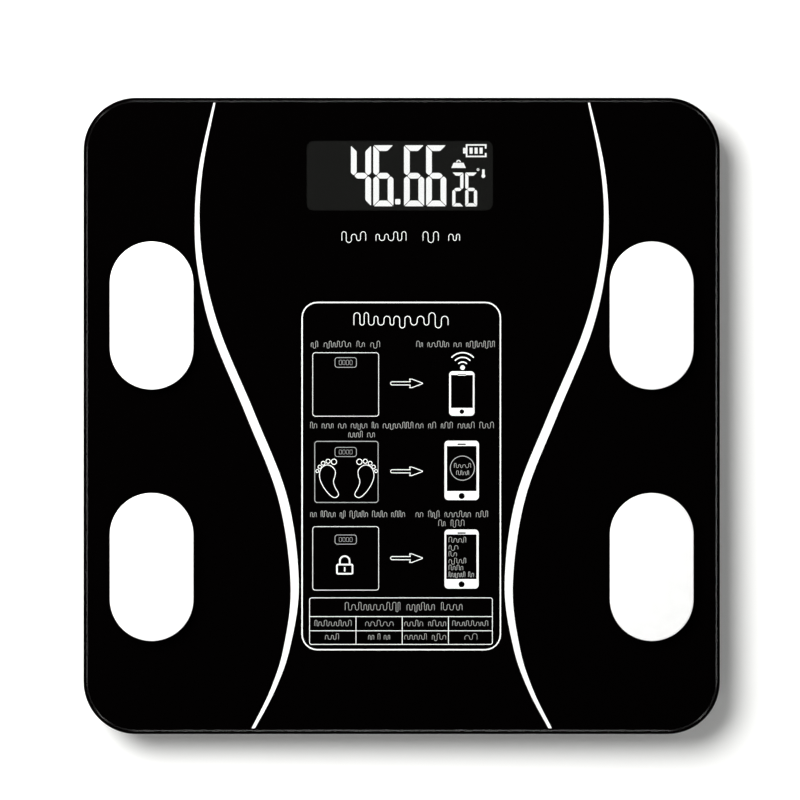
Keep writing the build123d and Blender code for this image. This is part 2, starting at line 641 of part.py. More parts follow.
def battery_door():
    """A flat door that turns on two end pins, with a bent snap finger at its far edge."""
    bottom = DOOR_AXIS_Z - DOOR_THICK / 2
    top = DOOR_AXIS_Z + DOOR_THICK / 2
    door = block((-DOOR_HALF_X, DOOR_PIVOT_Y, bottom), (DOOR_HALF_X, DOOR_FAR_Y, top))
    gap = LATCH_HALF + LATCH_SLOT
    outer_leg = DOOR_FAR_Y + LATCH_STEP
    inner_leg = outer_leg - 3 * LATCH_WALL
    door -= block((-gap, inner_leg + LATCH_WALL, bottom), (gap, DOOR_FAR_Y, top))
    half = LATCH_HALF
    door += block((-half, inner_leg, bottom + 0.5), (half, inner_leg + LATCH_WALL, LATCH_TOP))
    door += block((-half, inner_leg, LATCH_TOP - LATCH_WALL), (half, outer_leg, LATCH_TOP))
    door += block((-half, outer_leg - LATCH_WALL, bottom), (half, outer_leg, LATCH_TOP))
    catch_top = FLOOR_TOP + DOOR_GAP + CATCH_HEIGHT
    door += block((-half, outer_leg - LATCH_WALL / 2, FLOOR_TOP + DOOR_GAP),
                  (half, outer_leg + CATCH_REACH, catch_top))
    edge = Cylinder(DOOR_THICK / 2, 2 * DOOR_HALF_X, rotation=(0, 90, 0))
    pins = Cylinder(PIN_R, 2 * (DOOR_HALF_X + PIN_REACH), rotation=(0, 90, 0))
    door += Pos(0, DOOR_PIVOT_Y, DOOR_AXIS_Z) * edge
    door += Pos(0, DOOR_PIVOT_Y, DOOR_AXIS_Z) * pins
    for k in range(GRIP_GROOVES):
        grip_y = DOOR_FAR_Y - GRIP_FROM_EDGE - GRIP_PITCH * k
        door -= block((-gap, grip_y, bottom), (gap, grip_y + GRIP_SIZE[0], bottom + GRIP_SIZE[1]))
    return door


# --- Wires ---
def beside(points, shift):
    """A route moved sideways in plan, so that wires lie next to each other."""
    moved = []
    for k, (x, y, z) in enumerate(points):
        before = points[max(k - 1, 0)]
        after = points[min(k + 1, len(points) - 1)]
        here_in = atan2(y - before[1], x - before[0])
        here_out = atan2(after[1] - y, after[0] - x)
        if k == 0:
            here_in = here_out
        if k == len(points) - 1:
            here_out = here_in
        half_turn = (here_out - here_in + pi) % (2 * pi) - pi
        angle = here_in + half_turn / 2 + pi / 2
        reach = shift / cos(half_turn / 2)
        moved.append((x + reach * cos(angle), y + reach * sin(angle), z))
    return moved


def wire(points):
    """A round wire on straight runs joined by tangent arcs, each as large as its runs allow."""
    spots = [Vector(*p) for p in points]
    bends = []
    for a, b, c in zip(spots, spots[1:], spots[2:]):
        turn = radians((b - a).get_angle(c - b))
        shorter = min((b - a).length, (c - b).length)
        bends.append(0.45 * shorter / tan(turn / 2))
    path = FilletPolyline(*spots, radius=bends)
    section = Plane(origin=path @ 0, z_dir=path % 0) * Circle(WIRE_R)
    tube = sweep(section, path=path)
    expected = pi * WIRE_R**2 * path.length
    print(f"wire: length {path.length:.1f}, volume {tube.volume / expected:.4f} of its section's, "
          f"tightest bend {min(bends):.1f}")
    return tube


def pin_x(name):
    """Where each wire meets its connector, as a distance from the centre line."""
    places = {"toe_cell": 38.0, "toe_pad": 34.0, "heel_pad": 32.0, "heel_cell": 28.4,
              "battery_plus": 24.0, "battery_minus": 22.0}
    return places[name]


def cell_route(end, side):
    """The middle wire of a load cell's three, from the cell to the circuit board."""
    start = ENDS[end] * (FOOT_AT - WIRE_SPLICE)
    routes = {
        "toe": [(FOOT_AT, start), (92.0, 68.0), (76.0, 65.0), (50.0, 66.0), (38.0, 71.0)],
        "heel": [(FOOT_AT, start), (90.0, -66.0), (78.0, -50.0), (69.0, -28.0), (66.5, 5.0),
                 (64.0, 32.0), (55.0, 49.0), (37.0, 59.0), (28.4, 68.0)],
    }
    spots = [*routes[end], (pin_x(f"{end}_cell"), CONNECTOR_Y)]
    return [(side * x, y, WIRE_Z) for x, y in spots]


def pad_route(end, side):
    """An electrode's wire, down from its terminal and along the tray."""
    z = WIRE_Z
    tail = ELECTRODE_X - TERMINAL_TAIL
    tail_z = INK_BOTTOM - CONTACT_GAP - TERMINAL_THICK - WIRE_R
    routes = {
        "toe": [(tail + 2, 41.0, tail_z), (90.0, 42.0, 15.5), (80.0, 48.0, 11.5), (66.0, 58.0, z),
                (44.0, 63.5, z), (34.0, 69.0, z)],
        "heel": [(tail + 2, -61.7, tail_z), (90.0, -58.0, 15.5), (80.0, -46.0, 11.5),
                 (74.0, -28.0, z), (71.0, 5.0, z), (69.0, 32.0, z), (60.0, 52.0, z),
                 (42.0, 61.0, z), (32.0, 68.0, z)],
    }
    spots = [*routes[end], (pin_x(f"{end}_pad"), CONNECTOR_Y, z)]
    return [(side * x, y, height) for x, y, height in spots]


def battery_routes():
    """The positive and negative leads, from the contacts' tabs to the circuit board."""
    heel_row, toe_row = cell_rows()
    start = TAB_END + 0.1
    plus = [(start, heel_row), (36.0, 34.0), (38.5, 46.0), (33.0, 57.0), (24.0, 67.5)]
    minus = [(start, toe_row), (34.0, 46.0), (30.5, 55.0), (22.0, 66.0)]
    plus.append((pin_x("battery_plus"), CONNECTOR_Y))
    minus.append((pin_x("battery_minus"), CONNECTOR_Y))
    return [[(x, y, WIRE_Z) for x, y in route] for route in (plus, minus)]


def wire_connectors():
    """Two rows of wire sockets on the circuit board."""
    outer = pin_x("toe_cell") + WIRE_PITCH + 1.0
    left_end = pin_x("heel_cell") - WIRE_PITCH - 1.0
    right_end = pin_x("battery_minus") - 1.0
    far = CONNECTOR_Y + CONNECTOR_DEPTH
    return [
        block((-outer, CONNECTOR_Y, CONNECTOR_BOTTOM), (-left_end, far, BOARD_BOTTOM)),
        block((right_end, CONNECTOR_Y, CONNECTOR_BOTTOM), (outer, far, BOARD_BOTTOM)),
    ]


# --- The whole scale ---
os.makedirs("parts", exist_ok=True)

save("glass_platform", glass_platform())
save("black_print", black_print())
save("white_print", waist_line(-1), waist_line(1), panel_outline())
for end in ENDS:
    for side_name, side in SIDES.items():
        save(f"electrode_{end}_{side_name}", electrode(side * ELECTRODE_X, ELECTRODE_Y[end]))
save("electrode_terminals", *[terminal(x, y) for x, y in stud_places()])
save("electrode_nuts", *[stud_nut(x, y) for x, y in stud_places()])
save("bonding_tape", *bonding_tape())
save("base_tray", base_tray())

cell, seat, gauge = load_cell(), sensor_seat(), strain_gauge()
for name, sx, sy in corners():
    save(f"foot_pad_{name}", foot_pad(sx * FOOT_AT, sy * FOOT_AT))
    save(f"foot_cap_{name}", foot_cap(sx * FOOT_AT, sy * FOOT_AT))
    save(f"load_cell_{name}", at_corner(cell, sx, sy))
    save(f"sensor_seat_{name}", at_corner(seat, sx, sy))
save("strain_gauges", *[at_corner(gauge, sx, sy) for _, sx, sy in corners()])

save("display_gasket", display_gasket())
save("lcd_cell", plate(*LCD, LCD_BOTTOM, LCD_TOP, y=DISPLAY_Y))
save("lcd_backlight", plate(*BACKLIGHT, LCD_BOTTOM - BACKLIGHT_THICK, LCD_BOTTOM, y=BACKLIGHT_Y))
save("zebra_connector", plate(*ZEBRA, BOARD_TOP, LCD_BOTTOM, y=ZEBRA_Y))
save("display_frame", display_frame())
save("main_circuit_board", main_circuit_board())
save("board_screws", *[board_screw(x, y) for x, y in screw_places()])
save("controller_chip", controller_chip())
save("wireless_module", wireless_module())
save("board_components", *board_components())
save("wire_connectors", *wire_connectors())
save("switch_body", switch_body())
save("switch_plunger", disc(PLUNGER_R, BUTTON_TOP, PLUNGER_TOP, BUTTON_X, DISPLAY_Y))
save("unit_button", unit_button())

heel_row, toe_row = cell_rows()
save("battery_door", battery_door())
save("battery_heel", battery(heel_row, 1))
save("battery_toe", battery(toe_row, -1))
bridge = contact_plate(-1, BAY_Y, CELL_PITCH + CONTACT_ROW_WIDTH)
save("battery_bridge_contact", bridge + contact_spring(-1, heel_row) + contact_dimple(-1, toe_row))
plus = contact_plate(1, heel_row, CONTACT_ROW_WIDTH) + contact_dimple(1, heel_row)
save("battery_positive_contact", plus + contact_tab(heel_row))
minus = contact_plate(1, toe_row, CONTACT_ROW_WIDTH) + contact_spring(1, toe_row)
save("battery_negative_contact", minus + contact_tab(toe_row))
plus_route, minus_route = battery_routes()
save("battery_lead_positive", wire(plus_route))
save("battery_lead_negative", wire(minus_route))

for shift, colour in enumerate(("red", "white", "black"), start=-1):
    runs = [
        wire(beside(cell_route(end, side), shift * WIRE_PITCH * side))
        for end in ENDS for side in SIDES.values()
    ]
    save(f"sensor_wires_{colour}", *runs)
save("electrode_wires", *[wire(pad_route(end, side)) for end in ENDS for side in SIDES.values()])
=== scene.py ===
import json
import math
import random

import bmesh
import bpy
from mathutils import Matrix, Vector


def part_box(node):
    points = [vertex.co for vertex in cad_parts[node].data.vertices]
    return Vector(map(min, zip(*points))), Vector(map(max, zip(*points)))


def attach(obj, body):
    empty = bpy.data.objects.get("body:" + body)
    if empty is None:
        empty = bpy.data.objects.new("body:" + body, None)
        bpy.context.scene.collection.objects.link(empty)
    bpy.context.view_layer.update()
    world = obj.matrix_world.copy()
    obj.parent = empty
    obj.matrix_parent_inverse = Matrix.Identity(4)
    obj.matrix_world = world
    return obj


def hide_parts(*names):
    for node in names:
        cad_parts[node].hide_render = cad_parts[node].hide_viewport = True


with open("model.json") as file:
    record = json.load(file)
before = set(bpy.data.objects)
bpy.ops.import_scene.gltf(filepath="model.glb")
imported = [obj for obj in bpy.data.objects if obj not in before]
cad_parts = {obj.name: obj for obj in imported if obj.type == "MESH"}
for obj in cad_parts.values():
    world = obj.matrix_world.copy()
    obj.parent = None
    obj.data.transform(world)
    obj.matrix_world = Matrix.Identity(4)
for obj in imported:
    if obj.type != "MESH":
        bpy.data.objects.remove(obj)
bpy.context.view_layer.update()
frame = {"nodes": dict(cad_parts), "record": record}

# A digital bathroom scale seen from straight above. Sizes in this file are millimetres, and
# MM turns them into the frame's metres. Heights and places come from the CAD nodes.
MM = 0.001
NODES = frame["nodes"]


def low(node):
    """A CAD node's lowest corner, in millimetres."""
    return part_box(node)[0] / MM


def high(node):
    """A CAD node's highest corner, in millimetres."""
    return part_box(node)[1] / MM


def centre_of(node):
    """The middle of a CAD node's box, in millimetres."""
    return (low(node) + high(node)) / 2


# --- Points and outlines, all in plan ---
def arc(centre, radius, start, end, steps):
    """Points on an arc, from one angle in degrees to another."""
    points = []
    for k in range(steps + 1):
        angle = math.radians(start + (end - start) * k / steps)
        points.append((centre[0] + radius * math.cos(angle), centre[1] + radius * math.sin(angle)))
    return points


def rounded(x0, x1, y0, y1, radius, steps=6):
    """A rectangle with round corners, counter-clockwise."""
    centres = [(x1 - radius, y0 + radius), (x1 - radius, y1 - radius),
               (x0 + radius, y1 - radius), (x0 + radius, y0 + radius)]
    points = []
    for k, centre in enumerate(centres):
        points += arc(centre, radius, -90 + 90 * k, 90 * k, steps)
    return points


def circle(x, y, radius, steps=32):
    return arc((x, y), radius, 0, 360 - 360 / steps, steps - 1)


def smooth(points, steps=8, closed=False):
    """A smooth line through the points (Catmull-Rom)."""
    count = len(points)
    made = []
    for k in range(count if closed else count - 1):
        if closed:
            near = [points[(k + j) % count] for j in (-1, 0, 1, 2)]
        else:
            near = [points[min(max(k + j, 0), count - 1)] for j in (-1, 0, 1, 2)]
        a, b, c, d = [Vector(p) for p in near]
        for j in range(steps):
            t = j / steps
            spot = 0.5 * (2 * b + (c - a) * t + (2 * a - 5 * b + 4 * c - d) * t**2
                          + (3 * b - a - 3 * c + d) * t**3)
            made.append(tuple(spot))
    if not closed:
        made.append(tuple(points[-1]))
    return made


def offset(points, distance, closed=True):
    """The same line moved sideways, to its right for a positive distance."""
    count = len(points)
    moved = []
    for k, p in enumerate(points):
        before = points[(k - 1) % count] if closed or k else p
        after = points[(k + 1) % count] if closed or k < count - 1 else p
        along = (Vector(after) - Vector(before)).normalized()
        moved.append((p[0] + along.y * distance, p[1] - along.x * distance))
    return moved


def loop_line(points, width):
    """The two outlines of a closed line of some width."""
    return [offset(points, width / 2), offset(points, -width / 2)]


def open_line(points, width):
    """The outline of an open line of some width."""
    right = offset(points, width / 2, closed=False)
    left = offset(points, -width / 2, closed=False)
    return right + left[::-1]


def frame_line(x0, x1, y0, y1, radius, line):
    """A rounded rectangle drawn as a line that lies inside these limits."""
    inner = rounded(x0 + line, x1 - line, y0 + line, y1 - line, max(radius - line, 0.05))
    return [rounded(x0, x1, y0, y1, radius), inner]


def softened(points, radius):
    """A convex outline with each corner cut back to a small curve."""
    made = []
    count = len(points)
    for k, p in enumerate(points):
        corner = Vector(p)
        before = Vector(points[k - 1]) - corner
        after = Vector(points[(k + 1) % count]) - corner
        reach = min(radius, before.length / 3, after.length / 3)
        start = corner + before.normalized() * reach
        end = corner + after.normalized() * reach
        for t in (0.0, 0.5, 1.0):
            made.append(tuple(start * (1 - t) ** 2 + corner * 2 * t * (1 - t) + end * t**2))
    return made


def quarter(radius):
    """A quarter round, from its start to its end: (how far in, how far down)."""
    angles = [math.radians(90 * k / 5) for k in range(1, 6)]
    return [(radius * (1 - math.cos(angle)), radius * (1 - math.sin(angle))) for angle in angles]


def shrunk(points, distance):
    """An outline with each side moved inwards, whichever way round it runs."""
    count = len(points)
    turn = sum(a[0] * b[1] - b[0] * a[1] for a, b in zip(points, points[1:] + points[:1]))
    if turn < 0:
        distance = -distance
    sides = []
    for k in range(count):
        a, b = Vector(points[k]), Vector(points[(k + 1) % count])
        along = (b - a).normalized()
        inward = Vector((-along.y, along.x))
        sides.append((a + inward * distance, along))
    made = []
    for k in range(count):
        (p, d), (q, e) = sides[k - 1], sides[k]
        cross = d.x * e.y - d.y * e.x
        t = ((q - p).x * e.y - (q - p).y * e.x) / cross
        made.append(tuple(p + d * t))
    return made


# --- Meshes ---
def new_object(name, data):
    """An object in the scene."""
    made = bpy.data.objects.new(name, data)
    bpy.context.scene.collection.objects.link(made)
    return made


def add_object(name, mesh, slot, finish=None, body="scale", replaces=None):
    """A new piece that rides on a body. Its material is the slot's unless another finish is
    named, and it may stand for a CAD node."""
    piece = new_object(name, mesh)
    mesh.materials.clear()
    mesh.materials.append(MATERIALS[finish or slot])
    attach(piece, body)
    if replaces:
        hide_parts(replaces)


def mesh_from(bm, name, sharp=35):
    """Finishes a bmesh: outward normals, smooth faces and sharp edges at hard corners."""
    bmesh.ops.recalc_face_normals(bm, faces=bm.faces)
    mesh = bpy.data.meshes.new(name)
    bm.to_mesh(mesh)
    bm.free()
    mesh.shade_smooth()
    mesh.set_sharp_from_angle(angle=math.radians(sharp))
    return mesh


def skin(bm, loops, closed=False, caps=True):
    """Faces between loops that each have the same number of points, in millimetres."""
    rings = [[bm.verts.new(Vector(p) * MM) for p in loop] for loop in loops]
    pairs = list(zip(rings, rings[1:]))
    if closed:
        pairs.append((rings[-1], rings[0]))
    for near, far in pairs:
        for k in range(len(near)):
            j = (k + 1) % len(near)
            bm.faces.new((near[k], near[j], far[j], far[k]))
    if caps and not closed:
        bm.faces.new(rings[0][::-1])
        bm.faces.new(rings[-1])


def slab(bm, outline, profile):
    """A plate whose edge follows a profile of (inset, height). outline gives the loop for an
    inset."""
    skin(bm, [[(x, y, z) for x, y in outline(inset)] for inset, z in profile])


def lathe(bm, profile, centre, steps=64, axis="z", closed=False):
    """A turned solid. The profile is (radius, height) from one end to the other, or all the way
    round a ring's section if closed."""
    loops = []
    for radius, height in profile:
        ring = []
        for k in range(steps):
            angle = 2 * math.pi * k / steps
            across, up = radius * math.cos(angle), radius * math.sin(angle)
            if axis == "z":
                ring.append((centre[0] + across, centre[1] + up, height))
            else:
                ring.append((height, centre[1] + across, centre[2] + up))
        loops.append(ring)
    skin(bm, loops, closed)


def filled(groups, bottom, top, name):
    """One mesh from groups of flat outlines. In a group, an outline inside another is a hole."""
    bm = bmesh.new()
    for outlines in groups:
        curve = bpy.data.curves.new(name, "CURVE")
        curve.dimensions = "2D"
        curve.fill_mode = "BOTH"
        curve.extrude = (top - bottom) / 2 * MM
        for outline in outlines:
            spline = curve.splines.new("POLY")
            spline.points.add(len(outline) - 1)
            for point, (x, y) in zip(spline.points, outline):
                point.co = (x * MM, y * MM, 0, 1)
            spline.use_cyclic_u = True
        holder = new_object(name, curve)
        flat = bpy.data.meshes.new_from_object(
            holder.evaluated_get(bpy.context.evaluated_depsgraph_get()))
        flat.transform(Matrix.Translation((0, 0, (bottom + top) / 2 * MM)))
        bm.from_mesh(flat)
        bpy.data.objects.remove(holder)
        bpy.data.meshes.remove(flat)
        bpy.data.curves.remove(curve)
    bmesh.ops.remove_doubles(bm, verts=bm.verts, dist=1e-7)
    return mesh_from(bm, name)


# --- Materials, each kept in MATERIALS by the function that makes it ---
MATERIALS = {}


def new_material(name):
    """A material's node tree and its shader."""
    MATERIALS[name] = bpy.data.materials.new(name)
    MATERIALS[name].use_nodes = True
    tree = MATERIALS[name].node_tree
    return tree, tree.nodes["Principled BSDF"]


def node(tree, kind, **settings):
    made = tree.nodes.new(kind)
    for key, value in settings.items():
        setattr(made, key, value)
    return made


def coordinates(tree, stretch=(1.0, 1.0, 1.0)):
    """The piece's own coordinates in metres, stretched along the axes."""
    place = node(tree, "ShaderNodeTexCoord")
    scaled = node(tree, "ShaderNodeMapping")
    scaled.inputs["Scale"].default_value = stretch
    tree.links.new(place.outputs["Object"], scaled.inputs["Vector"])
    return scaled.outputs["Vector"]


def noise(tree, size, detail=3.0, roughness=0.5, stretch=(1.0, 1.0, 1.0)):
    """Noise whose blobs are about this many millimetres across."""
    made = node(tree, "ShaderNodeTexNoise")
    made.inputs["Scale"].default_value = 1 / (size * MM)
    made.inputs["Detail"].default_value = detail
    made.inputs["Roughness"].default_value = roughness
    tree.links.new(coordinates(tree, stretch), made.inputs["Vector"])
    return made.outputs["Fac"]


def ranged(tree, value, from_low, from_high, to_low, to_high, kind="LINEAR"):
    """Maps a value from one range to another and keeps it inside."""
    made = node(tree, "ShaderNodeMapRange", interpolation_type=kind)
    tree.links.new(value, made.inputs["Value"])
    for key, number in (("From Min", from_low), ("From Max", from_high),
                        ("To Min", to_low), ("To Max", to_high)):
        made.inputs[key].default_value = number
    return made.outputs["Result"]


def mixed(tree, factor, first, second):
    """A colour between two, each a colour or a socket."""
    made = node(tree, "ShaderNodeMix", data_type="RGBA")
    sockets = (made.inputs[0], made.inputs[6], made.inputs[7])
    for socket, value in zip(sockets, (factor, first, second)):
        if isinstance(value, bpy.types.NodeSocket):
            tree.links.new(value, socket)
        elif isinstance(value, float):
            socket.default_value = value
        else:
            socket.default_value = (*value, 1.0)
    return made.outputs[2]


def maths(tree, operation, *values):
    """A sum of numbers and sockets."""
    made = node(tree, "ShaderNodeMath", operation=operation)
    for socket, value in zip(made.inputs, values):
        if isinstance(value, bpy.types.NodeSocket):
            tree.links.new(value, socket)
        else:
            socket.default_value = value
    return made.outputs[0]


def edge_mask(tree, width):
    """1 on convex and concave edges within this many millimetres, 0 on flat faces."""
    round_off = node(tree, "ShaderNodeBevel", samples=4)
    round_off.inputs["Radius"].default_value = width * MM
    plain = node(tree, "ShaderNodeNewGeometry")
    dot = node(tree, "ShaderNodeVectorMath", operation="DOT_PRODUCT")
    tree.links.new(round_off.outputs["Normal"], dot.inputs[0])
    tree.links.new(plain.outputs["Normal"], dot.inputs[1])
    return ranged(tree, dot.outputs["Value"], 0.98, 0.86, 0.0, 1.0)


def bump(tree, shader, height, depth):
    """Fine relief of this many millimetres."""
    made = node(tree, "ShaderNodeBump")
    made.inputs["Distance"].default_value = depth * MM
    tree.links.new(height, made.inputs["Height"])
    tree.links.new(made.outputs["Normal"], shader.inputs["Normal"])


def feed(shader, **values):
    """Links sockets to the shader's colour, glow and roughness."""
    names = {"colour": "Base Color", "rough": "Roughness", "glow": "Emission Color"}
    for key, value in values.items():
        shader.id_data.links.new(value, shader.inputs[names[key]])


def scaled_colour(colour, factor):
    return tuple(min(c * factor, 1.0) for c in colour)


def plastic(name, colour, rough=0.5, grain=0.25, depth=0.008, spread=0.25, wear=0.3, edge=0.25,
            shine=0.45):
    """Moulded plastic: fine spark grain, a slow change of shade, and paler rubbed edges."""
    tree, shader = new_material(name)
    slow = noise(tree, 14.0, 4.0)
    fine = noise(tree, grain, 2.0)
    shade = mixed(tree, ranged(tree, slow, 0.3, 0.7, 0.0, 1.0),
                  scaled_colour(colour, 1 - spread), scaled_colour(colour, 1 + spread))
    scuffs = ranged(tree, noise(tree, 3.0, 5.0, 0.7), 0.45, 0.75, 0.2, 1.0)
    rubbed = maths(tree, "MULTIPLY", edge_mask(tree, edge), scuffs)
    rubbed = maths(tree, "MULTIPLY", rubbed, wear)
    pale = tuple(0.55 * c + 0.25 for c in colour)
    feed(shader, colour=mixed(tree, rubbed, shade, pale))
    feed(shader, rough=ranged(tree, fine, 0.25, 0.75, rough - 0.08, rough + 0.1))
    shader.inputs["Specular IOR Level"].default_value = shine
    bump(tree, shader, fine, depth)


def rubber(name, colour, rough=0.78, grain=0.35, depth=0.012):
    """Soft rubber or foam: dull, with dust in its pores."""
    tree, shader = new_material(name)
    dust = ranged(tree, noise(tree, 5.0, 6.0, 0.7), 0.5, 0.8, 0.0, 0.35)
    pores = noise(tree, grain, 3.0, 0.6)
    pale = tuple(0.7 * c + 0.12 for c in colour)
    feed(shader, colour=mixed(tree, dust, colour, pale))
    feed(shader, rough=ranged(tree, pores, 0.3, 0.7, rough - 0.08, rough + 0.1))
    shader.inputs["Specular IOR Level"].default_value = 0.3
    bump(tree, shader, pores, depth)


def metal(name, colour, rough=0.3, stretch=(1.0, 1.0, 1.0), grain=0.3, depth=0.002,
          metallic=1.0, anisotropic=0.0, tarnish=0.12, edge=0.12):
    """Sheet or turned metal: brushed where it is stretched, brighter on its edges."""
    tree, shader = new_material(name)
    lines = noise(tree, grain, 4.0, 0.6, stretch)
    cloud = ranged(tree, noise(tree, 6.0, 4.0), 0.35, 0.75, 0.0, 1.0)
    shade = mixed(tree, cloud, scaled_colour(colour, 1.02), scaled_colour(colour, 1 - tarnish))
    bright = maths(tree, "MULTIPLY", edge_mask(tree, edge), 0.6)
    feed(shader, colour=mixed(tree, bright, shade, scaled_colour(colour, 1.15)))
    feed(shader, rough=ranged(tree, lines, 0.25, 0.75, rough - 0.07, rough + 0.09))
    shader.inputs["Metallic"].default_value = metallic
    shader.inputs["Anisotropic"].default_value = anisotropic
    bump(tree, shader, lines, depth)


def clear_glass():
    """Tempered glass: faintly green inside, with the roller's slow waves. Light reaches what is
    behind it."""
    tree, shader = new_material("clear_glass")
    shader.inputs["Base Color"].default_value = (1.0, 1.0, 1.0, 1.0)
    shader.inputs["Transmission Weight"].default_value = 1.0
    shader.inputs["Roughness"].default_value = 0.0
    shader.inputs["IOR"].default_value = 1.52
    bump(tree, shader, noise(tree, 60.0, 0.0), 0.0004)
    through = node(tree, "ShaderNodeBsdfTransparent")
    rays = node(tree, "ShaderNodeLightPath")
    either = maths(tree, "MAXIMUM", rays.outputs["Is Shadow Ray"], rays.outputs["Is Diffuse Ray"])
    choose = node(tree, "ShaderNodeMixShader")
    output = tree.nodes["Material Output"]
    tree.links.new(either, choose.inputs["Fac"])
    tree.links.new(shader.outputs["BSDF"], choose.inputs[1])
    tree.links.new(through.outputs["BSDF"], choose.inputs[2])
    tree.links.new(choose.outputs["Shader"], output.inputs["Surface"])
    tint = node(tree, "ShaderNodeVolumeAbsorption")
    tint.inputs["Color"].default_value = (0.55, 0.85, 0.72, 1.0)
    tint.inputs["Density"].default_value = 6.0
    tree.links.new(tint.outputs["Volume"], output.inputs["Volume"])


def ink(name, colour, shine=0.0, mesh_size=0.12):
    """Screen-printed ink: the print screen's fine mesh and slow changes in its thickness."""
    tree, shader = new_material(name)
    thick = ranged(tree, noise(tree, 9.0, 3.0), 0.3, 0.7, 0.0, 1.0)
    dots = noise(tree, mesh_size, 1.0)
    feed(shader, colour=mixed(tree, thick, scaled_colour(colour, 0.96), colour))
    feed(shader, rough=ranged(tree, dots, 0.3, 0.7, 0.5, 0.65))
    shader.inputs["Specular IOR Level"].default_value = shine
    bump(tree, shader, dots, 0.002)


def glowing(name, colour, strength):
    """A lit segment of the display. The light behind it is a little uneven."""
    tree, shader = new_material(name)
    uneven = ranged(tree, noise(tree, 12.0, 2.0), 0.3, 0.7, 0.0, 1.0)
    glow = mixed(tree, uneven, scaled_colour(colour, 0.94), colour)
    feed(shader, glow=glow)
    shader.inputs["Emission Strength"].default_value = strength
    shader.inputs["Base Color"].default_value = (*scaled_colour(colour, 0.04), 1.0)
    feed(shader, rough=ranged(tree, uneven, 0.0, 1.0, 0.35, 0.45))


def circuit_board(name, mask, copper):
    """Solder mask over a pattern of copper tracks, with bare pads here and there."""
    tree, shader = new_material(name)
    tracks = node(tree, "ShaderNodeTexBrick")
    tracks.inputs["Scale"].default_value = 1 / (6 * MM)
    tracks.inputs["Mortar Size"].default_value = 0.035
    tree.links.new(coordinates(tree), tracks.inputs["Vector"])
    over = mixed(tree, ranged(tree, tracks.outputs["Fac"], 0.0, 1.0, 0.0, 0.55), mask, copper)
    dirt = ranged(tree, noise(tree, 4.0, 4.0), 0.4, 0.8, 0.0, 0.3)
    feed(shader, colour=mixed(tree, dirt, over, scaled_colour(mask, 0.5)))
    feed(shader, rough=ranged(tree, noise(tree, 0.4), 0.3, 0.7, 0.28, 0.42))
    bump(tree, shader, tracks.outputs["Fac"], 0.03)


def striped(name, first, second, pitch):
    """Thin stripes along X, as in the rubber strip that joins a display to its board."""
    tree, shader = new_material(name)
    wave = node(tree, "ShaderNodeTexWave")
    wave.inputs["Scale"].default_value = 1 / (pitch * MM) / 3.2
    wave.inputs["Distortion"].default_value = 0.1
    tree.links.new(coordinates(tree), wave.inputs["Vector"])
    feed(shader, colour=mixed(tree, wave.outputs["Fac"], first, second))
    feed(shader, rough=ranged(tree, wave.outputs["Fac"], 0.0, 1.0, 0.45, 0.7))


clear_glass()
ink("black_ink", (0.0006, 0.0004, 0.0004))
ink("white_ink", (0.9, 0.9, 0.89), shine=0.3)
metal("electrode_steel", (0.85, 0.85, 0.84), 0.5, (12.0, 0.6, 1.0), 0.4, 0.001, metallic=0.85,
      tarnish=0.02)
metal("brass", (0.78, 0.62, 0.34), 0.3)
metal("zinc_steel", (0.66, 0.67, 0.68), 0.33)
plastic("grey_wire", (0.33, 0.33, 0.34), 0.4, 0.8, 0.01)
plastic("red_wire", (0.5, 0.02, 0.02), 0.4, 0.8, 0.01)
plastic("white_wire", (0.8, 0.8, 0.78), 0.4, 0.8, 0.01, spread=0.06)
plastic("black_wire", (0.014, 0.014, 0.014), 0.4, 0.8, 0.01)
rubber("foam_tape", (0.02, 0.02, 0.02), 0.85, 0.5, 0.03)
rubber("black_foam", (0.012, 0.012, 0.012), 0.9, 0.4, 0.04)
plastic("tray_plastic", (0.014, 0.014, 0.015), 0.5, 0.3, 0.012, spread=0.1, wear=0.25)
plastic("door_plastic", (0.016, 0.016, 0.017), 0.46, 0.3, 0.012, spread=0.1, wear=0.35)
plastic("cap_plastic", (0.03, 0.03, 0.031), 0.42, 0.4, 0.006, wear=0.3)
plastic("button_plastic", (0.22, 0.22, 0.23), 0.38, 0.4, 0.005)
rubber("foot_rubber", (0.035, 0.035, 0.037))
plastic("seat_plastic", (0.72, 0.72, 0.7), 0.45, 0.5, spread=0.06)
metal("sensor_steel", (0.52, 0.52, 0.53), 0.34, (1.0, 14.0, 1.0), 0.4, anisotropic=0.4,
      tarnish=0.25)
rubber("gauge_sealant", (0.82, 0.82, 0.8), 0.45, 1.2, 0.05)
plastic("light_guide", (0.8, 0.84, 0.87), 0.2, 1.5, 0.004, spread=0.05)
striped("silicone", (0.55, 0.55, 0.57), (0.03, 0.03, 0.03), 0.8)
plastic("frame_plastic", (0.7, 0.7, 0.68), 0.42, 0.5, spread=0.06)
circuit_board("circuit_board", (0.012, 0.13, 0.045), (0.05, 0.3, 0.1))
circuit_board("module_board", (0.01, 0.04, 0.12), (0.45, 0.46, 0.48))
plastic("black_resin", (0.008, 0.008, 0.008), 0.15, 3.0, 0.02)
plastic("ceramic", (0.42, 0.32, 0.2), 0.5, 0.6, 0.01)
plastic("connector_plastic", (0.8, 0.78, 0.7), 0.4, 0.5, spread=0.06)
plastic("switch_plastic", (0.03, 0.03, 0.03), 0.4, 0.5, 0.006)
metal("nickel_steel", (0.74, 0.72, 0.68), 0.25, (1.0, 1.0, 6.0), 0.3, tarnish=0.2)
for entry in frame["record"]["subparts"]:
    if entry["material_slot"] in MATERIALS:
        for material_slot in NODES[entry["node"]].material_slots:
            material_slot.material = MATERIALS[entry["material_slot"]]


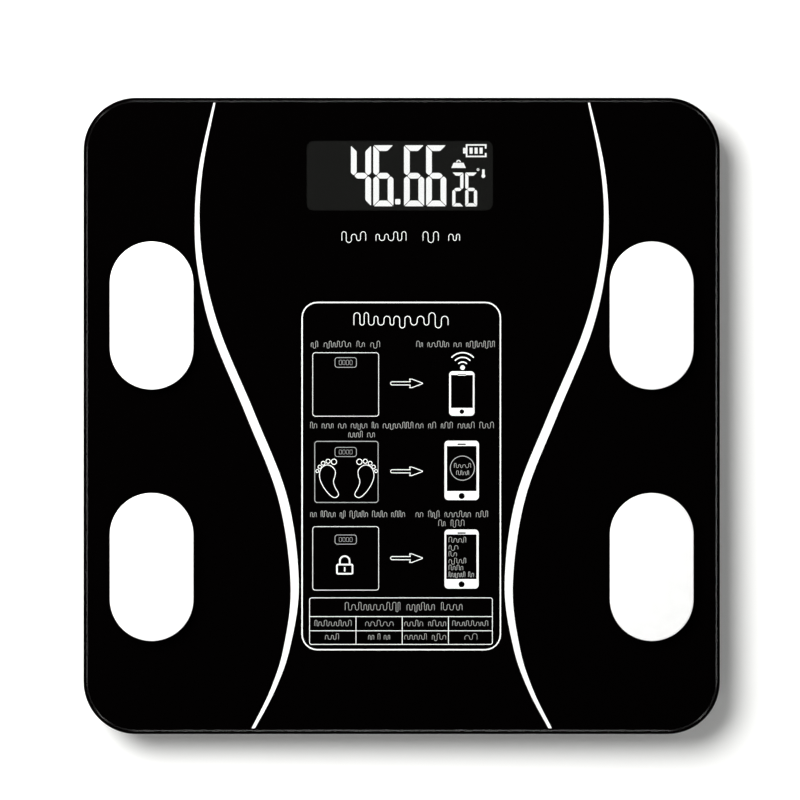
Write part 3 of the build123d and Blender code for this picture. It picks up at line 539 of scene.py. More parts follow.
# --- The glass, its edge ground to a flat with its corners rounded over ---
GLASS_LOW, GLASS_HIGH = low("glass_platform"), high("glass_platform")
GLASS_CORNER = 21.5
BEVEL_ACROSS, BEVEL_DROP = 1.5, 1.0
TOP_ROUND, SIDE_ROUND, BOTTOM_ROUND = 1.8, 0.3, 0.4
STUD_HOLE = 2.5
ELECTRODES = sorted(n for n in NODES
                    if n.startswith("electrode_") and n.endswith(("left", "right")))


def glass_outline(inset):
    return rounded(GLASS_LOW.x + inset, GLASS_HIGH.x - inset, GLASS_LOW.y + inset,
                   GLASS_HIGH.y - inset, GLASS_CORNER - inset, steps=18)


def glass_profile():
    """(inset, height) from the middle of the underside round the edge to the top."""
    slope = math.atan2(BEVEL_DROP, BEVEL_ACROSS)
    bottom, top = GLASS_LOW.z, GLASS_HIGH.z
    points = [(BOTTOM_ROUND + 0.5, bottom), (BOTTOM_ROUND, bottom)]
    points += [(down, bottom + across) for across, down in quarter(BOTTOM_ROUND)]
    points.append((0.0, top - BEVEL_DROP - 0.6))
    centre = top - BEVEL_DROP - SIDE_ROUND * math.tan((math.pi / 2 - slope) / 2)
    for k in range(6):
        tilt = math.pi / 2 + (slope - math.pi / 2) * k / 5
        points.append((SIDE_ROUND * (1 - math.sin(tilt)), centre + SIDE_ROUND * math.cos(tilt)))
    tangent = TOP_ROUND * math.tan(slope / 2)
    for k in range(13):
        tilt = slope * (1 - k / 12)
        points.append((BEVEL_ACROSS + tangent - TOP_ROUND * math.sin(tilt),
                       top - TOP_ROUND * (1 - math.cos(tilt))))
    points.append((points[-1][0] + 0.5, top))
    return points


def stud_centres():
    """The middle of each electrode's stud."""
    return [tuple(centre_of(n).xy) for n in ELECTRODES]


def cut_holes(mesh, centres, radius, bottom, top):
    """The mesh with round holes through it."""
    cutter = bmesh.new()
    for x, y in centres:
        lathe(cutter, [(radius, bottom), (radius, top)], (x, y), steps=48)
    target = new_object("cut_target", mesh)
    tool = new_object("cut_tool", mesh_from(cutter, "cut_tool"))
    boolean = target.modifiers.new("holes", "BOOLEAN")
    boolean.object = tool
    boolean.solver = "EXACT"
    made = bpy.data.meshes.new_from_object(
        target.evaluated_get(bpy.context.evaluated_depsgraph_get()))
    bpy.data.objects.remove(target)
    bpy.data.objects.remove(tool)
    made.shade_smooth()
    made.set_sharp_from_angle(angle=math.radians(35))
    return made


bm = bmesh.new()
slab(bm, glass_outline, glass_profile())
glass_mesh = cut_holes(mesh_from(bm, "glass_slab"), stud_centres(), STUD_HOLE,
                       GLASS_LOW.z - 1, GLASS_HIGH.z + 1)
add_object("glass_slab", glass_mesh, "clear_glass", replaces="glass_platform")

# --- The printing behind the glass ---
# Ink touches the glass, so each layer starts a little inside it: no air lies between them.
OPTICAL_CONTACT = 0.02
BLACK_LOW = low("black_print").z
BLACK_TOP = GLASS_LOW.z + OPTICAL_CONTACT
WHITE_TOP = GLASS_LOW.z + 2 * OPTICAL_CONTACT
WHITE_LOW = GLASS_LOW.z - OPTICAL_CONTACT
WINDOW_X = -0.9
WINDOW_Y = centre_of("lcd_cell").y + 0.3
WINDOW_HALF = (38.2, 14.3)
WINDOW_CORNER = 3.0
window = rounded(WINDOW_X - WINDOW_HALF[0], WINDOW_X + WINDOW_HALF[0], WINDOW_Y - WINDOW_HALF[1],
                 WINDOW_Y + WINDOW_HALF[1], WINDOW_CORNER)
ink_inset = GLASS_HIGH.x - high("black_print").x
black_outlines = [glass_outline(ink_inset), window]
black_outlines += [circle(x, y, STUD_HOLE, 48) for x, y in stud_centres()]
add_object("black_ink_layer", filled([black_outlines], BLACK_LOW, BLACK_TOP, "black_ink_layer"),
           "black_ink", replaces="black_print")

# Widths of the lines, then of the pens that draw the scribbles.
BORDER_LINE = 0.53
FINE_LINE = 0.31
THIN_LINE = 0.24
TABLE_LINE = 0.27
TITLE_PEN = 0.31
BOLD_PEN = 0.25
PEN = 0.19
random.seed(26)
BODY_HEIGHT = 0.72              # a low arch's height, as a share of a tall one's
ARCHES = 0.75                   # in a scribble, for each letter it stands for
TALL_SHARE = 0.3                # of the arches, how many are tall
DEEP_SHARE = 0.1                # of the turns between them, how many hang lower
UNEVEN = 0.3                    # how much the distances between strokes vary
WORD_GAP = 2.4                  # of the usual distance between strokes


def scribble(x, widths, bottom, top, pen):
    """One line that runs up and down through round turns, with the given distances between its
    strokes."""
    body = bottom + BODY_HEIGHT * (top - bottom)
    deep = bottom - 0.8 * (top - body)
    line = [(x, bottom)]
    for k, width in enumerate(widths):
        half = width / 2
        chance = random.random()
        if k % 2:
            turn = deep if chance < DEEP_SHARE else bottom
            line += arc((x + half, turn + half), half, 180, 360, 6)
        else:
            turn = top if chance < TALL_SHARE else body
            line += arc((x + half, turn - half), half, 180, 0, 6)
        x += width
    line.append((x, bottom))
    return [open_line(line, pen)]


def words(x0, x1, bottom, top, counts, pen):
    """A scribble for each word of a line, spread from x0 to x1. counts gives the words' letters."""
    shares = [[1 + UNEVEN * random.uniform(-1, 1) for _ in range(2 * round(ARCHES * count) - 1)]
              for count in counts]
    total = sum(sum(word) for word in shares) + WORD_GAP * (len(counts) - 1)
    scale = (x1 - x0 - pen) / total
    half = pen / 2
    made = []
    x = x0 + half
    for word in shares:
        widths = [share * scale for share in word]
        made.append(scribble(x, widths, bottom + half, top - half, pen))
        x += sum(widths) + WORD_GAP * scale
    return made


def foot(side, x, y):
    """A footprint: the sole's outline and five toes. side is 1 where the big toe is on its
    right."""
    sole = [(0.4, 6.1), (2.2, 5.4), (3.5, 3.7), (3.4, 1.5), (2.8, -0.6), (3.4, -2.9), (4.6, -5.0),
            (4.8, -6.3), (3.7, -7.2), (2.1, -6.8), (-0.2, -4.5), (-2.0, -1.6), (-2.9, 1.3),
            (-2.6, 3.8), (-1.4, 5.5)]
    toes = [(3.0, 7.4, 1.1), (0.6, 7.6, 0.85), (-1.4, 6.8, 0.78), (-2.8, 5.3, 0.72),
            (-3.8, 3.6, 0.62)]
    outline = smooth([(x + side * px, y + py) for px, py in sole], 5, closed=True)
    made = [loop_line(outline, FINE_LINE)]
    for px, py, radius in toes:
        at = (x + side * px, y + py)
        made.append(loop_line(circle(*at, radius, 16), FINE_LINE))
    return made


def arrow(x0, x1, y):
    """An outlined arrow: a round-ended shaft that opens into a head."""
    head, shaft, barb = x1 - 5.7, 0.8, 1.9
    outline = arc((x0 + shaft, y), shaft, 90, 270, 8)
    outline += [(head, y - shaft), (head - 0.2, y - barb), (head + 0.9, y - barb),
                (x1 - 0.4, y - 0.25), (x1 - 0.4, y + 0.25), (head + 0.9, y + barb),
                (head - 0.2, y + barb), (head, y + shaft)]
    return [outline, shrunk(outline, FINE_LINE)]


def phone(x0, x1, y0, y1, screen, home):
    """A telephone seen from the front: a white body with openings for its screen and slot."""
    centre = (x0 + x1) / 2
    return [rounded(x0, x1, y0, y1, 1.5), rounded(*screen, 0.2), circle(centre, *home, 20),
            rounded(centre - 1.7, centre + 1.7, y1 - 1.75, y1 - 1.15, 0.25)]


def little_display(x0, x1, y0, y1):
    """The small picture of a display, with empty boxes in place of its digits."""
    made = [frame_line(x0, x1, y0, y1, 1.1, THIN_LINE)]
    for k in range(4):
        x = x0 + 1.75 + 1.45 * k
        made.append(frame_line(x, x + 1.15, y0 + 1.1, y1 - 1.1, 0.4, THIN_LINE / 2))
    return made


def curved_bar(x, y, radius, line, half_angle):
    """One arc of the radio-wave sign, standing over (x, y)."""
    outer = arc((x, y), radius + line / 2, 90 - half_angle, 90 + half_angle, 16)
    inner = arc((x, y), radius - line / 2, 90 + half_angle, 90 - half_angle, 16)
    return [outer + inner]


def waist_curves():
    """The two long curves. Each is (height, outer reach, inner reach) down the platform."""
    reach = [(128.0, 76.95, 76.15), (103.0, 82.65, 81.1), (81.5, 84.55, 82.7), (60.0, 83.4, 80.8),
             (34.0, 77.5, 74.0), (0.0, 63.5, 59.7), (-34.0, 50.4, 46.6), (-68.7, 45.4, 42.1),
             (-94.4, 48.2, 45.6), (-112.0, 53.7, 51.7), (-127.7, 61.4, 60.0)]
    made = []
    for side in (-1, 1):
        outer = smooth([(side * far, y) for y, far, _ in reach], 10)
        inner = smooth([(side * near, y) for y, _, near in reach], 10)
        made.append([outer + inner[::-1]])
    return made


def moved(groups, shift):
    """Groups of outlines, all moved by (x, y)."""
    return [[[(x + shift[0], y + shift[1]) for x, y in outline] for outline in group]
            for group in groups]


def panel_art():
    """The instruction panel: its border, six little pictures with arrows, and a table."""
    made = [frame_line(-40.7, 40.9, -95.7, 46.8, 6.5, BORDER_LINE)]
    # six pictures, two to a row
    made += [frame_line(-36.2, -9.0, low_y, high_y, 1.2, THIN_LINE)
             for low_y, high_y in ((-0.1, 26.1), (-71.2, -45.0))]
    made += [arrow(-4.4, 9.3, y) for y in (13.45, -22.5, -58.0)]
    made.append(phone(19.7, 30.05, 0.2, 18.4, (20.45, 29.4, 3.4, 16.9), (1.9, 0.95)))
    made.append(phone(17.8, 31.85, -34.25, -10.0, (18.75, 30.9, -30.6, -12.15), (-32.6, 1.25)))
    made.append(phone(17.8, 31.75, -70.45, -46.3, (18.5, 30.9, -66.6, -48.3), (-68.7, 1.25)))
    # radio waves over the first telephone
    made.append([circle(25.2, 19.9, 0.95, 20)])
    made += [curved_bar(25.2, 19.9, radius, 0.5, 48) for radius in (2.3, 4.2, 6.1)]
    # the padlock
    made.append(frame_line(-26.5, -19.5, -64.7, -60.3, 0.8, 0.65))
    made.append([rounded(-23.3, -22.7, -63.5, -61.6, 0.25)])
    shackle = [(-25.0, -60.3), (-25.0, -59.2)] + arc((-23.0, -59.2), 2.0, 180, 0, 14)[1:-1]
    shackle += [(-21.0, -59.2), (-21.0, -60.3)]
    made.append([open_line(shackle, 0.65)])
    # the table
    made.append(frame_line(-37.5, 37.5, -93.4, -74.1, 1.0, TABLE_LINE))
    half = TABLE_LINE / 2
    rules = (-81.9, -87.7)
    made += [[rounded(-37.2, 37.2, y - half, y + half, 0.05)] for y in rules]
    for x in (-18.4, 0.5, 19.4):
        for bottom, top in ((-93.1, rules[1] - half), (rules[1] + half, rules[0] - half)):
            made.append([rounded(x - half, x + half, bottom, top, 0.05)])
    # the heading
    made += words(-19.4, 19.4, 37.1, 42.5, [12], TITLE_PEN)
    return made


def capacity_text():
    """The two short groups under the display."""
    bottom, top = 71.7, 75.6
    return (words(-24.3, 2.2, bottom, top, [4, 5], BOLD_PEN)
            + words(8.9, 24.1, bottom, top, [2, 3], BOLD_PEN))


def small_text():
    """Scribbles in place of the captions, of the table's cells and of the words on two screens."""
    lines = [(-36.8, -8.6, 28.0, 30.6, [2, 8, 3, 3]), (6.3, 38.3, 28.0, 30.6, [2, 7, 2, 9]),
             (-37.1, 5.0, -5.2, -2.5, [2, 4, 3, 5, 2, 9]), (-21.5, -10.7, -8.9, -6.2, [5, 2]),
             (6.0, 37.9, -5.2, -2.5, [2, 3, 4, 6, 4]), (-37.1, 1.6, -41.5, -38.8, [2, 5, 3, 7, 5, 5]),
             (6.0, 35.5, -41.5, -38.8, [2, 4, 8, 4]), (15.3, 25.9, -45.2, -42.5, [3, 4])]
    cells = [(-35.3, -20.2, -86.1, -83.5, [10]), (-14.6, -3.1, -86.1, -83.5, [7]),
             (1.4, 18.4, -86.1, -83.5, [6, 5]), (21.0, 35.6, -86.0, -83.7, [11]),
             (-31.0, -25.4, -91.6, -89.0, [4]), (-13.4, -4.5, -91.6, -89.0, [2, 1, 2]),
             (1.4, 18.4, -91.6, -89.0, [7, 4]), (26.0, 31.2, -91.6, -89.0, [3])]
    screen = [(19.5, 26.6, -51.9, -49.5, [6]), (19.5, 23.4, -54.7, -52.4, [3]),
              (19.5, 22.8, -57.6, -55.3, [3]), (19.5, 26.6, -60.4, -58.1, [6]),
              (19.5, 25.4, -63.2, -60.9, [5]), (19.5, 29.8, -66.0, -63.7, [8, 3]),
              (21.7, 28.6, -21.4, -19.4, [6]), (22.6, 27.8, -24.3, -22.4, [5])]
    made = words(-22.9, 25.1, -79.6, -76.2, [13, 8, 6], PEN)
    for x0, x1, bottom, top, counts in lines + cells + screen:
        made += words(x0, x1, bottom, top, counts, PEN)
    return made


def grey_art():
    """What is printed thinner: the weighing picture's frame, the displays in the three pictures
    and the ring on a screen."""
    made = [frame_line(-35.4, -9.2, -35.4, -10.1, 1.2, FINE_LINE)]
    for bottom, top in ((19.9, 24.1), (-16.6, -12.6), (-52.4, -48.4)):
        made += little_display(-27.1, -18.1, bottom, top)
    made.append([circle(25.1, -21.2, 5.1, 40), circle(25.1, -21.2, 4.8, 40)])
    return made


ink("grey_ink", (0.36, 0.36, 0.36), shine=0.3)
ink("text_ink", (0.36, 0.36, 0.35), shine=0.3)
PANEL_SHIFT = (-0.3, -0.15)
TEXT_SHIFT = (-0.3, 0.1)
pictures = panel_art() + capacity_text() + foot(1, -30.4, -26.0) + foot(-1, -14.0, -26.0)
lines = waist_curves() + moved(pictures, PANEL_SHIFT)
prints = [("white_ink_lines", lines, "white_ink", "white_print"),
          ("white_ink_text", moved(small_text(), TEXT_SHIFT), "text_ink", None),
          ("white_ink_thin_lines", moved(grey_art(), PANEL_SHIFT), "grey_ink", None)]
for name, groups, finish, replaced in prints:
    add_object(name, filled(groups, WHITE_LOW, WHITE_TOP, name), "white_ink", finish,
               replaces=replaced)

# --- Electrodes: thin pads with a threaded stud ---
PAD_EDGE = 0.15
PAD_SINK = 0.01                 # the pad's underside beds this far into the glass
THREAD_R, THREAD_ROOT = 1.5, 1.32
THREAD_PITCH = 0.5


def electrode_outline(box_low, box_high):
    def outline(inset):
        radius = (box_high.x - box_low.x) / 2 - inset
        return rounded(box_low.x + inset, box_high.x - inset, box_low.y + inset,
                       box_high.y - inset, radius, steps=20)
    return outline


for name in ELECTRODES:
    box_low, box_high = low(name), high(name)
    bottom, top = GLASS_HIGH.z - PAD_SINK, box_high.z
    profile = [(0.6, bottom), (0.0, bottom), (0.0, top - PAD_EDGE)]
    profile += [(across, top - down) for across, down in quarter(PAD_EDGE)]
    profile.append((PAD_EDGE + 0.4, top))
    bm = bmesh.new()
    slab(bm, electrode_outline(box_low, box_high), profile)
    thread = [(1.1, box_low.z), (1.35, box_low.z + 0.25)]
    for k in range(int((bottom - box_low.z - 1.0) / THREAD_PITCH)):
        crest = box_low.z + THREAD_PITCH + THREAD_PITCH * k
        thread += [(THREAD_R, crest), (THREAD_ROOT, crest + THREAD_PITCH / 2)]
    thread.append((THREAD_R, bottom + 0.05))
    lathe(bm, thread, centre_of(name).xy, steps=32)
    add_object(name + "_pad", mesh_from(bm, name), "electrode_steel", replaces=name)

# --- The display ---
LCD_LOW, LCD_HIGH = low("lcd_cell"), high("lcd_cell")
SEGMENT_RELIEF = 0.03
DIGITS_SHIFT = (-0.4, 0.2)
DIGIT_BOTTOM, DIGIT_TALL, DIGIT_WIDE = 85.4, 25.2, 8.5
DIGIT_LINE = 2.6
SEGMENT_GAP = 0.13 / DIGIT_LINE     # of a segment's width, as its corners' radius is
SEGMENT_CORNER = 0.16


def segments(x, y, width, height, line, lit):
    """The lit parts of one seven-segment digit, from its lower left corner."""
    middle = y + height / 2
    notch = line * 0.42
    top, right = y + height, x + width
    bars = {
        "A": [(x, top), (x + line, top - line), (right - line, top - line), (right, top)],
        "F": [(x, top), (x, middle + notch), (x + line / 2, middle), (x + line, middle + line / 2),
              (x + line, top - line)],
        "B": [(right, top), (right - line, top - line), (right - line, middle + line / 2),
              (right - line / 2, middle), (right, middle + notch)],
        "G": [(x + line / 2, middle), (x + line, middle - line / 2),
              (right - line, middle - line / 2), (right - line / 2, middle),
              (right - line, middle + line / 2), (x + line, middle + line / 2)],
        "E": [(x, y), (x + line, y + line), (x + line, middle - line / 2), (x + line / 2, middle),
              (x, middle - notch)],
        "C": [(right, y), (right, middle - notch), (right - line / 2, middle),
              (right - line, middle - line / 2), (right - line, y + line)],
        "D": [(x, y), (right, y), (right - line, y + line), (x + line, y + line)],
    }
    return [[softened(shrunk(bars[name], SEGMENT_GAP * line), SEGMENT_CORNER * line)]
            for name in lit]


def display_art():
    """What the display shows: a weight, a temperature, a battery sign and two small signs."""
    four, six, two = "FBGC", "AFGCDE", "ABGED"
    made = []
    for x, lit in ((-20.5, four), (-11.35, six), (1.2, six), (10.25, six)):
        made += segments(x, DIGIT_BOTTOM, DIGIT_WIDE, DIGIT_TALL, DIGIT_LINE, lit)
    made.append([rounded(-2.3, -0.15, 86.3, 88.5, 0.45)])
    for x, wide, lit in ((21.0, 4.7, two), (26.3, 5.0, six)):
        made += segments(x, DIGIT_BOTTOM, wide, 14.0, 1.45, lit)
    # the battery sign
    made.append([[(26.6, 105.6), (35.1, 105.6), (35.1, 107.3), (34.4, 107.3), (34.4, 106.2),
                  (27.3, 106.2), (27.3, 110.3), (34.4, 110.3), (34.4, 109.1), (35.1, 109.1),
                  (35.1, 110.9), (26.6, 110.9), (26.6, 109.4), (25.5, 109.4), (25.5, 107.1),
                  (26.6, 107.1)]])
    made += [[rounded(28.15 + 2.05 * k, 29.4 + 2.05 * k, 107.0, 109.5, 0.1)] for k in range(3)]
    # a weight's outline in place of the unit, and a thermometer beside the temperature
    made.append([[(20.7, 101.2), (26.6, 101.2), (25.7, 103.3), (21.6, 103.3)]])
    made.append([arc((23.65, 103.5), 1.0, 0, 180, 10) + arc((23.65, 103.5), 0.5, 180, 0, 8)])
    made.append([circle(31.6, 100.5, 0.55, 16), circle(31.6, 100.5, 0.25, 16)])
    made.append([arc((33.8, 97.9), 0.8, 130, 410, 14) + [(34.3, 100.6), (33.3, 100.6)]])
    return made


def lcd_outline(ledge):
    """The glass plates' outline. The lower plate's heel side stands out by the ledge."""
    def outline(inset):
        return rounded(LCD_LOW.x + inset, LCD_HIGH.x - inset, LCD_LOW.y + ledge + inset,
                       LCD_HIGH.y - inset, 0.5 - inset / 2, steps=3)
    return outline


def bevelled(bottom, top, edge):
    """A plate's (inset, height) profile with both edges cut back at 45 degrees."""
    return [(edge + 0.3, bottom), (edge, bottom), (0.0, bottom + edge), (0.0, top - edge),
            (edge, top), (edge + 0.3, top)]


plastic("lcd_glass", (0.0062, 0.0062, 0.0057), 0.3, 0.5, 0.0, spread=0.05, wear=0.0, shine=0.02)
glowing("lit_segment", (1.0, 1.0, 0.99), 0.96)
LCD_SPLIT = LCD_LOW.z + 1.15
LCD_LEDGE = 2.2
LCD_EDGE = 0.08
bm = bmesh.new()
slab(bm, lcd_outline(0.0), bevelled(LCD_LOW.z, LCD_SPLIT, LCD_EDGE))
slab(bm, lcd_outline(LCD_LEDGE), bevelled(LCD_SPLIT, LCD_HIGH.z - SEGMENT_RELIEF, LCD_EDGE))
add_object("lcd_plates", mesh_from(bm, "lcd_plates"), "lcd_glass", replaces="lcd_cell")
lit = filled(moved(display_art(), DIGITS_SHIFT), LCD_HIGH.z - 2 * SEGMENT_RELIEF, LCD_HIGH.z, "lit")
add_object("lcd_lit_segments", lit, "lcd_glass", "lit_segment")

# --- Feet: rubber pads with ring-shaped treads ---
PAD_CHAMFER = 0.5
TREAD_DEPTH = 0.45
TREADS = (4.0, 8.0, 12.0, 15.6)     # each groove's radius
TREAD_HALF = 0.55
for name in sorted(n for n in NODES if n.startswith("foot_pad_")):
    box_low, box_high = low(name), high(name)
    radius = (box_high.x - box_low.x) / 2
    sole = box_low.z
    groove = sole + TREAD_DEPTH
    profile = [(0.8, groove), (1.6, groove), (2.0, sole)]
    for tread in TREADS:
        profile += [(tread - TREAD_HALF, sole), (tread - 0.6 * TREAD_HALF, groove),
                    (tread + 0.6 * TREAD_HALF, groove), (tread + TREAD_HALF, sole)]
    profile += [(radius - PAD_CHAMFER, sole), (radius - 0.15, sole + 0.15),
                (radius, sole + PAD_CHAMFER), (radius, box_high.z), (radius - 0.6, box_high.z)]
    bm = bmesh.new()
    lathe(bm, profile, centre_of(name).xy, steps=96)
    add_object(name + "_tread", mesh_from(bm, name), "foot_rubber",
               body=name.replace("foot_pad", "foot"), replaces=name)

# --- Battery contacts: nickelled plates with coil springs, pressed cups and solder tabs ---
CONTACT_THICK = 0.3
SPRING_WIRE = 0.28
SPRING_R = (3.3, 1.9)           # the wire's middle, at the plate and at the cell
SPRING_TURNS = 3
SPRING_STEPS = 28               # in each turn
CUP_R = 2.5
CUP_EDGE = 0.8
TAB_LOW, TAB_HIGH = 8.4, 10.4
CELL_Z = centre_of("battery_heel").z
ROWS = {row: centre_of("battery_" + row).y for row in ("heel", "toe")}
PLATE_X = -low("battery_bridge_contact").x
FLAT_END = -low("battery_heel").x
NUB_END = high("battery_heel").x


def upright_plate(bm, x0, x1, y0, y1, z0, z1, corner, edge=0.06):
    """A plate that stands across the X axis."""
    loops = []
    for inset, x in ((edge, x0), (0.0, x0 + edge), (0.0, x1 - edge), (edge, x1)):
        outline = rounded(y0 + inset, y1 - inset, z0 + inset, z1 - inset, corner)
        loops.append([(x, y, z) for y, z in outline])
    skin(bm, loops)


def tube(bm, path, radius, steps=12):
    """A round wire whose middle follows a path that never runs along X."""
    loops = []
    spots = [Vector(p) for p in path]
    for k, spot in enumerate(spots):
        along = (spots[min(k + 1, len(spots) - 1)] - spots[max(k - 1, 0)]).normalized()
        side = along.cross(Vector((1, 0, 0))).normalized()
        up = side.cross(along)
        loops.append([spot + side * radius * math.cos(2 * math.pi * j / steps)
                      + up * radius * math.sin(2 * math.pi * j / steps) for j in range(steps)])
    skin(bm, loops)


def coil_spring(bm, side, y):
    """A conical coil from its plate to a cell's flat end."""
    start = PLATE_X - CONTACT_THICK - SPRING_WIRE
    end = FLAT_END + SPRING_WIRE
    path = []
    count = SPRING_TURNS * SPRING_STEPS
    for k in range(count + 1):
        t = k / count
        radius = SPRING_R[0] + (SPRING_R[1] - SPRING_R[0]) * t
        angle = 2 * math.pi * SPRING_TURNS * t
        path.append((side * (start + (end - start) * t), y + radius * math.cos(angle),
                     CELL_Z + radius * math.sin(angle)))
    tube(bm, path, SPRING_WIRE)


def pressed_cup(bm, side, y):
    """A cup pressed out of the plate until it reaches a cell's nub."""
    start, tip = PLATE_X - CONTACT_THICK / 2, NUB_END
    profile = [(CUP_R, side * start), (CUP_R, side * (tip + CUP_EDGE))]
    profile += [(CUP_R - across, side * (tip + down)) for across, down in quarter(CUP_EDGE)]
    profile.append((CUP_R - 1.4, side * tip))
    lathe(bm, profile, (0, y, CELL_Z), steps=40, axis="x")


for name, side, spring_row, cup_row in (("battery_bridge_contact", -1, "heel", "toe"),
                                        ("battery_positive_contact", 1, None, "heel"),
                                        ("battery_negative_contact", 1, "toe", None)):
    box_low, box_high = low(name), high(name)
    near, far = sorted((side * (PLATE_X - CONTACT_THICK), side * PLATE_X))
    bm = bmesh.new()
    upright_plate(bm, near, far, box_low.y, box_high.y, box_low.z, box_high.z, 0.8)
    if spring_row:
        coil_spring(bm, side, ROWS[spring_row])
    if cup_row:
        pressed_cup(bm, side, ROWS[cup_row])
    if side > 0:
        half = CONTACT_THICK / 2
        tab = rounded(PLATE_X - CONTACT_THICK, box_high.x, TAB_LOW, TAB_HIGH, 0.5)
        skin(bm, [[(x, centre_of(name).y + across, z) for x, z in tab] for across in (-half, half)])
    add_object(name + "_pressed", mesh_from(bm, name), "nickel_steel", replaces=name)

# --- Cells: a steel can in a printed film sleeve ---
SLEEVE_THICK = 0.15
SHOULDER = high("battery_heel").x - 1.0
NUB_R = 1.9
CELL_R = (high("battery_heel").y - low("battery_heel").y) / 2
FILM_BAND = (13.9, 14.1)        # how far from the middle the pale band starts, and is full


def cell_film(name, direction):
    """The film round a cell: a plain dark body and a pale band at its positive end."""
    plastic(name, (0.03, 0.07, 0.12), 0.28, 2.5, 0.004, spread=0.1, wear=0.15)
    tree = MATERIALS[name].node_tree
    shader = tree.nodes["Principled BSDF"]
    old = shader.inputs["Base Color"].links[0].from_socket
    split = node(tree, "ShaderNodeSeparateXYZ")
    tree.links.new(coordinates(tree), split.inputs["Vector"])
    start, full = (direction * x * MM for x in FILM_BAND)
    band = ranged(tree, split.outputs["X"], start, full, 0.0, 1.0)
    feed(shader, colour=mixed(tree, band, old, (0.55, 0.56, 0.57)))


metal("battery_can", (0.7, 0.7, 0.69), 0.28, tarnish=0.15)
for row, direction in (("heel", 1), ("toe", -1)):
    centre = (0, ROWS[row], CELL_Z)
    can = bmesh.new()
    inner = CELL_R - SLEEVE_THICK
    profile = [(inner - 1.4, -FLAT_END), (inner - 0.9, -FLAT_END), (inner - 0.8, -FLAT_END + 0.25),
               (inner - 0.1, -FLAT_END + 0.5), (inner - 0.1, SHOULDER - 0.5),
               (inner - 0.6, SHOULDER - 0.25), (NUB_R + 1.2, SHOULDER - 0.15),
               (NUB_R + 0.1, SHOULDER - 0.1), (NUB_R, SHOULDER + 0.1), (NUB_R, NUB_END - 0.35),
               (NUB_R - 0.1, NUB_END - 0.12), (NUB_R - 0.35, NUB_END), (0.6, NUB_END)]
    lathe(can, [(r, direction * x) for r, x in profile], centre, axis="x")
    add_object(f"battery_{row}_can", mesh_from(can, "can"), "battery_can", replaces=f"battery_{row}")
    sleeve = bmesh.new()
    lip = inner - 0.7
    outside = [(lip, -FLAT_END + 0.02), (CELL_R - 0.35, -FLAT_END + 0.02),
               (CELL_R - 0.1, -FLAT_END + 0.12), (CELL_R, -FLAT_END + 0.4), (CELL_R, SHOULDER - 0.4),
               (CELL_R - 0.1, SHOULDER - 0.12), (CELL_R - 0.35, SHOULDER - 0.02),
               (lip, SHOULDER - 0.02)]
    inside = [(lip, SHOULDER - 0.17), (CELL_R - 0.4, SHOULDER - 0.17), (inner, SHOULDER - 0.45),
              (inner, -FLAT_END + 0.45), (CELL_R - 0.4, -FLAT_END + 0.17), (lip, -FLAT_END + 0.17)]
    lathe(sleeve, [(r, direction * x) for r, x in outside + inside], centre, axis="x", closed=True)
    film = f"battery_film_{row}"
    cell_film(film, direction)
    add_object(f"battery_{row}_sleeve", mesh_from(sleeve, "sleeve"), "battery_can", film)

# --- Camera, light and floor ---
VIEW_CENTRE = (-0.7, 6.5)
VIEW_WIDTH = 326.7
CAMERA_HEIGHT = 3000.0
SENSOR = 36.0
camera_data = bpy.data.cameras.new("camera")
camera = new_object("camera", camera_data)
camera.location = Vector((*VIEW_CENTRE, GLASS_HIGH.z + CAMERA_HEIGHT)) * MM
camera_data.sensor_width = SENSOR
camera_data.lens = SENSOR * CAMERA_HEIGHT / VIEW_WIDTH
camera_data.clip_start = 0.05
camera_data.clip_end = 50.0
bpy.context.scene.camera = camera

KEY_DIRECTION = Vector((-0.425, 0.371, 0.825))
KEY_DISTANCE = 1.2
KEY_SIZE = 0.87
KEY_POWER = 22.8
key_data = bpy.data.lights.new("key", "AREA")
key_data.shape = "DISK"
key_data.size = KEY_SIZE
key_data.energy = KEY_POWER
key = new_object("key", key_data)
key.location = KEY_DIRECTION.normalized() * KEY_DISTANCE
key.rotation_euler = KEY_DIRECTION.to_track_quat("Z", "Y").to_euler()
# The glass takes no light of its own from the key and doesn't mirror it. The ink behind it does.
flagged = bpy.data.collections.new("flagged_from_key")
flagged.objects.link(bpy.data.objects["glass_slab"])
key.light_linking.receiver_collection = flagged
flagged.collection_objects[0].light_linking.link_state = "EXCLUDE"

# A ring of eight soft panels stands round the object, with darkness straight above the glass.
RING_BASE = 0.2
RING_PANEL = 1.35
RING_PANELS = 8
RING_TILT = (0.22, -0.42)       # how much brighter the ring is towards +X and +Y
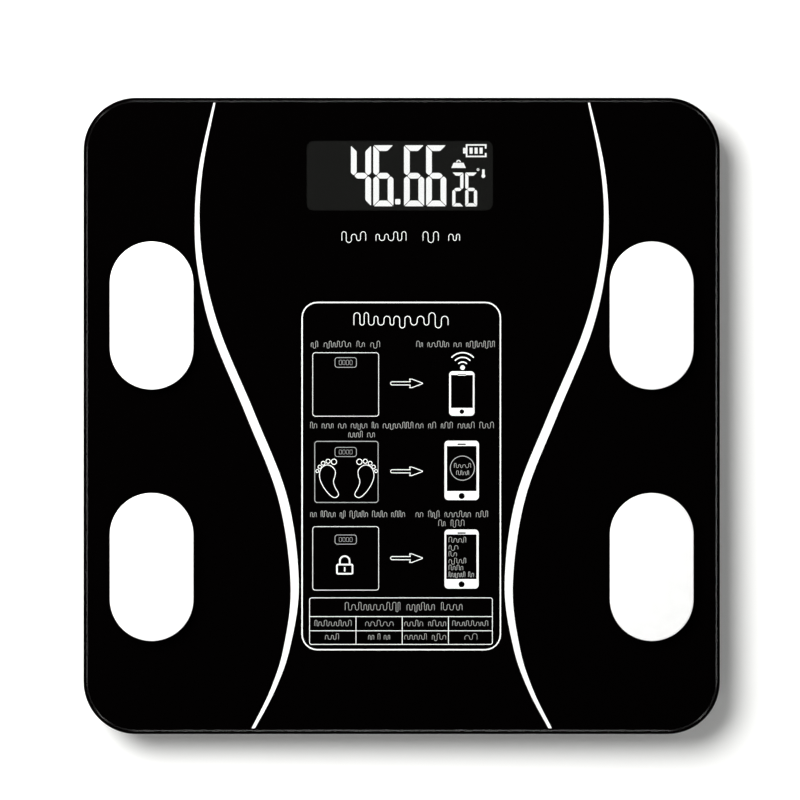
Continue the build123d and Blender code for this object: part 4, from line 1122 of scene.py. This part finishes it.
# Where each starts and where it is full, as the height of its direction on a unit sphere.
RING_FOOT, RING_TOP = (0.47, 0.57), (0.975, 0.93)
HORIZON_FADE = (0.28, 0.12)
HORIZON = 0.7
world = bpy.data.worlds.new("studio")
bpy.context.scene.world = world
world.use_nodes = True
sky = world.node_tree
direction = node(sky, "ShaderNodeTexCoord")
split = node(sky, "ShaderNodeSeparateXYZ")
sky.links.new(direction.outputs["Generated"], split.inputs["Vector"])


def step(value, start, end):
    """0 before start, 1 after end, smooth between them. end may be the smaller."""
    if start < end:
        return ranged(sky, value, start, end, 0.0, 1.0, "SMOOTHSTEP")
    return ranged(sky, value, end, start, 1.0, 0.0, "SMOOTHSTEP")


height = split.outputs["Z"]
azimuth = maths(sky, "ARCTAN2", split.outputs["Y"], split.outputs["X"])
wave = maths(sky, "COSINE", maths(sky, "MULTIPLY", azimuth, RING_PANELS / 2))
panels = maths(sky, "POWER", maths(sky, "ABSOLUTE", wave), 8.0)
ring = maths(sky, "MULTIPLY", step(height, *RING_FOOT), step(height, *RING_TOP))
tilt = maths(sky, "MULTIPLY_ADD", split.outputs["Y"], RING_TILT[1], 1.0)
tilt = maths(sky, "MULTIPLY_ADD", split.outputs["X"], RING_TILT[0], tilt)
bright = maths(sky, "MULTIPLY_ADD", panels, RING_PANEL, RING_BASE)
glow = maths(sky, "MULTIPLY", maths(sky, "MULTIPLY", ring, tilt), bright)
horizon = maths(sky, "MULTIPLY", step(height, *HORIZON_FADE), HORIZON)
strength = maths(sky, "ADD", glow, horizon)
sky.links.new(strength, sky.nodes["Background"].inputs["Strength"])
sky.nodes["Background"].inputs["Color"].default_value = (1.0, 1.0, 1.0, 1.0)
bpy.context.scene.view_settings.view_transform = "Standard"

FLOOR_HALF = 6.0
floor_mesh = bpy.data.meshes.new("floor")
floor_corners = [(sx * FLOOR_HALF, sy * FLOOR_HALF, 0.0)
                 for sx, sy in ((-1, -1), (1, -1), (1, 1), (-1, 1))]
floor_mesh.from_pydata(floor_corners, [], [(0, 1, 2, 3)])
floor = new_object("floor", floor_mesh)
_, floor_shader = new_material("floor")
floor_shader.inputs["Base Color"].default_value = (0.9, 0.9, 0.885, 1.0)
floor_shader.inputs["Roughness"].default_value = 0.9
floor_shader.inputs["Specular IOR Level"].default_value = 0.0
floor_mesh.materials.append(MATERIALS["floor"])
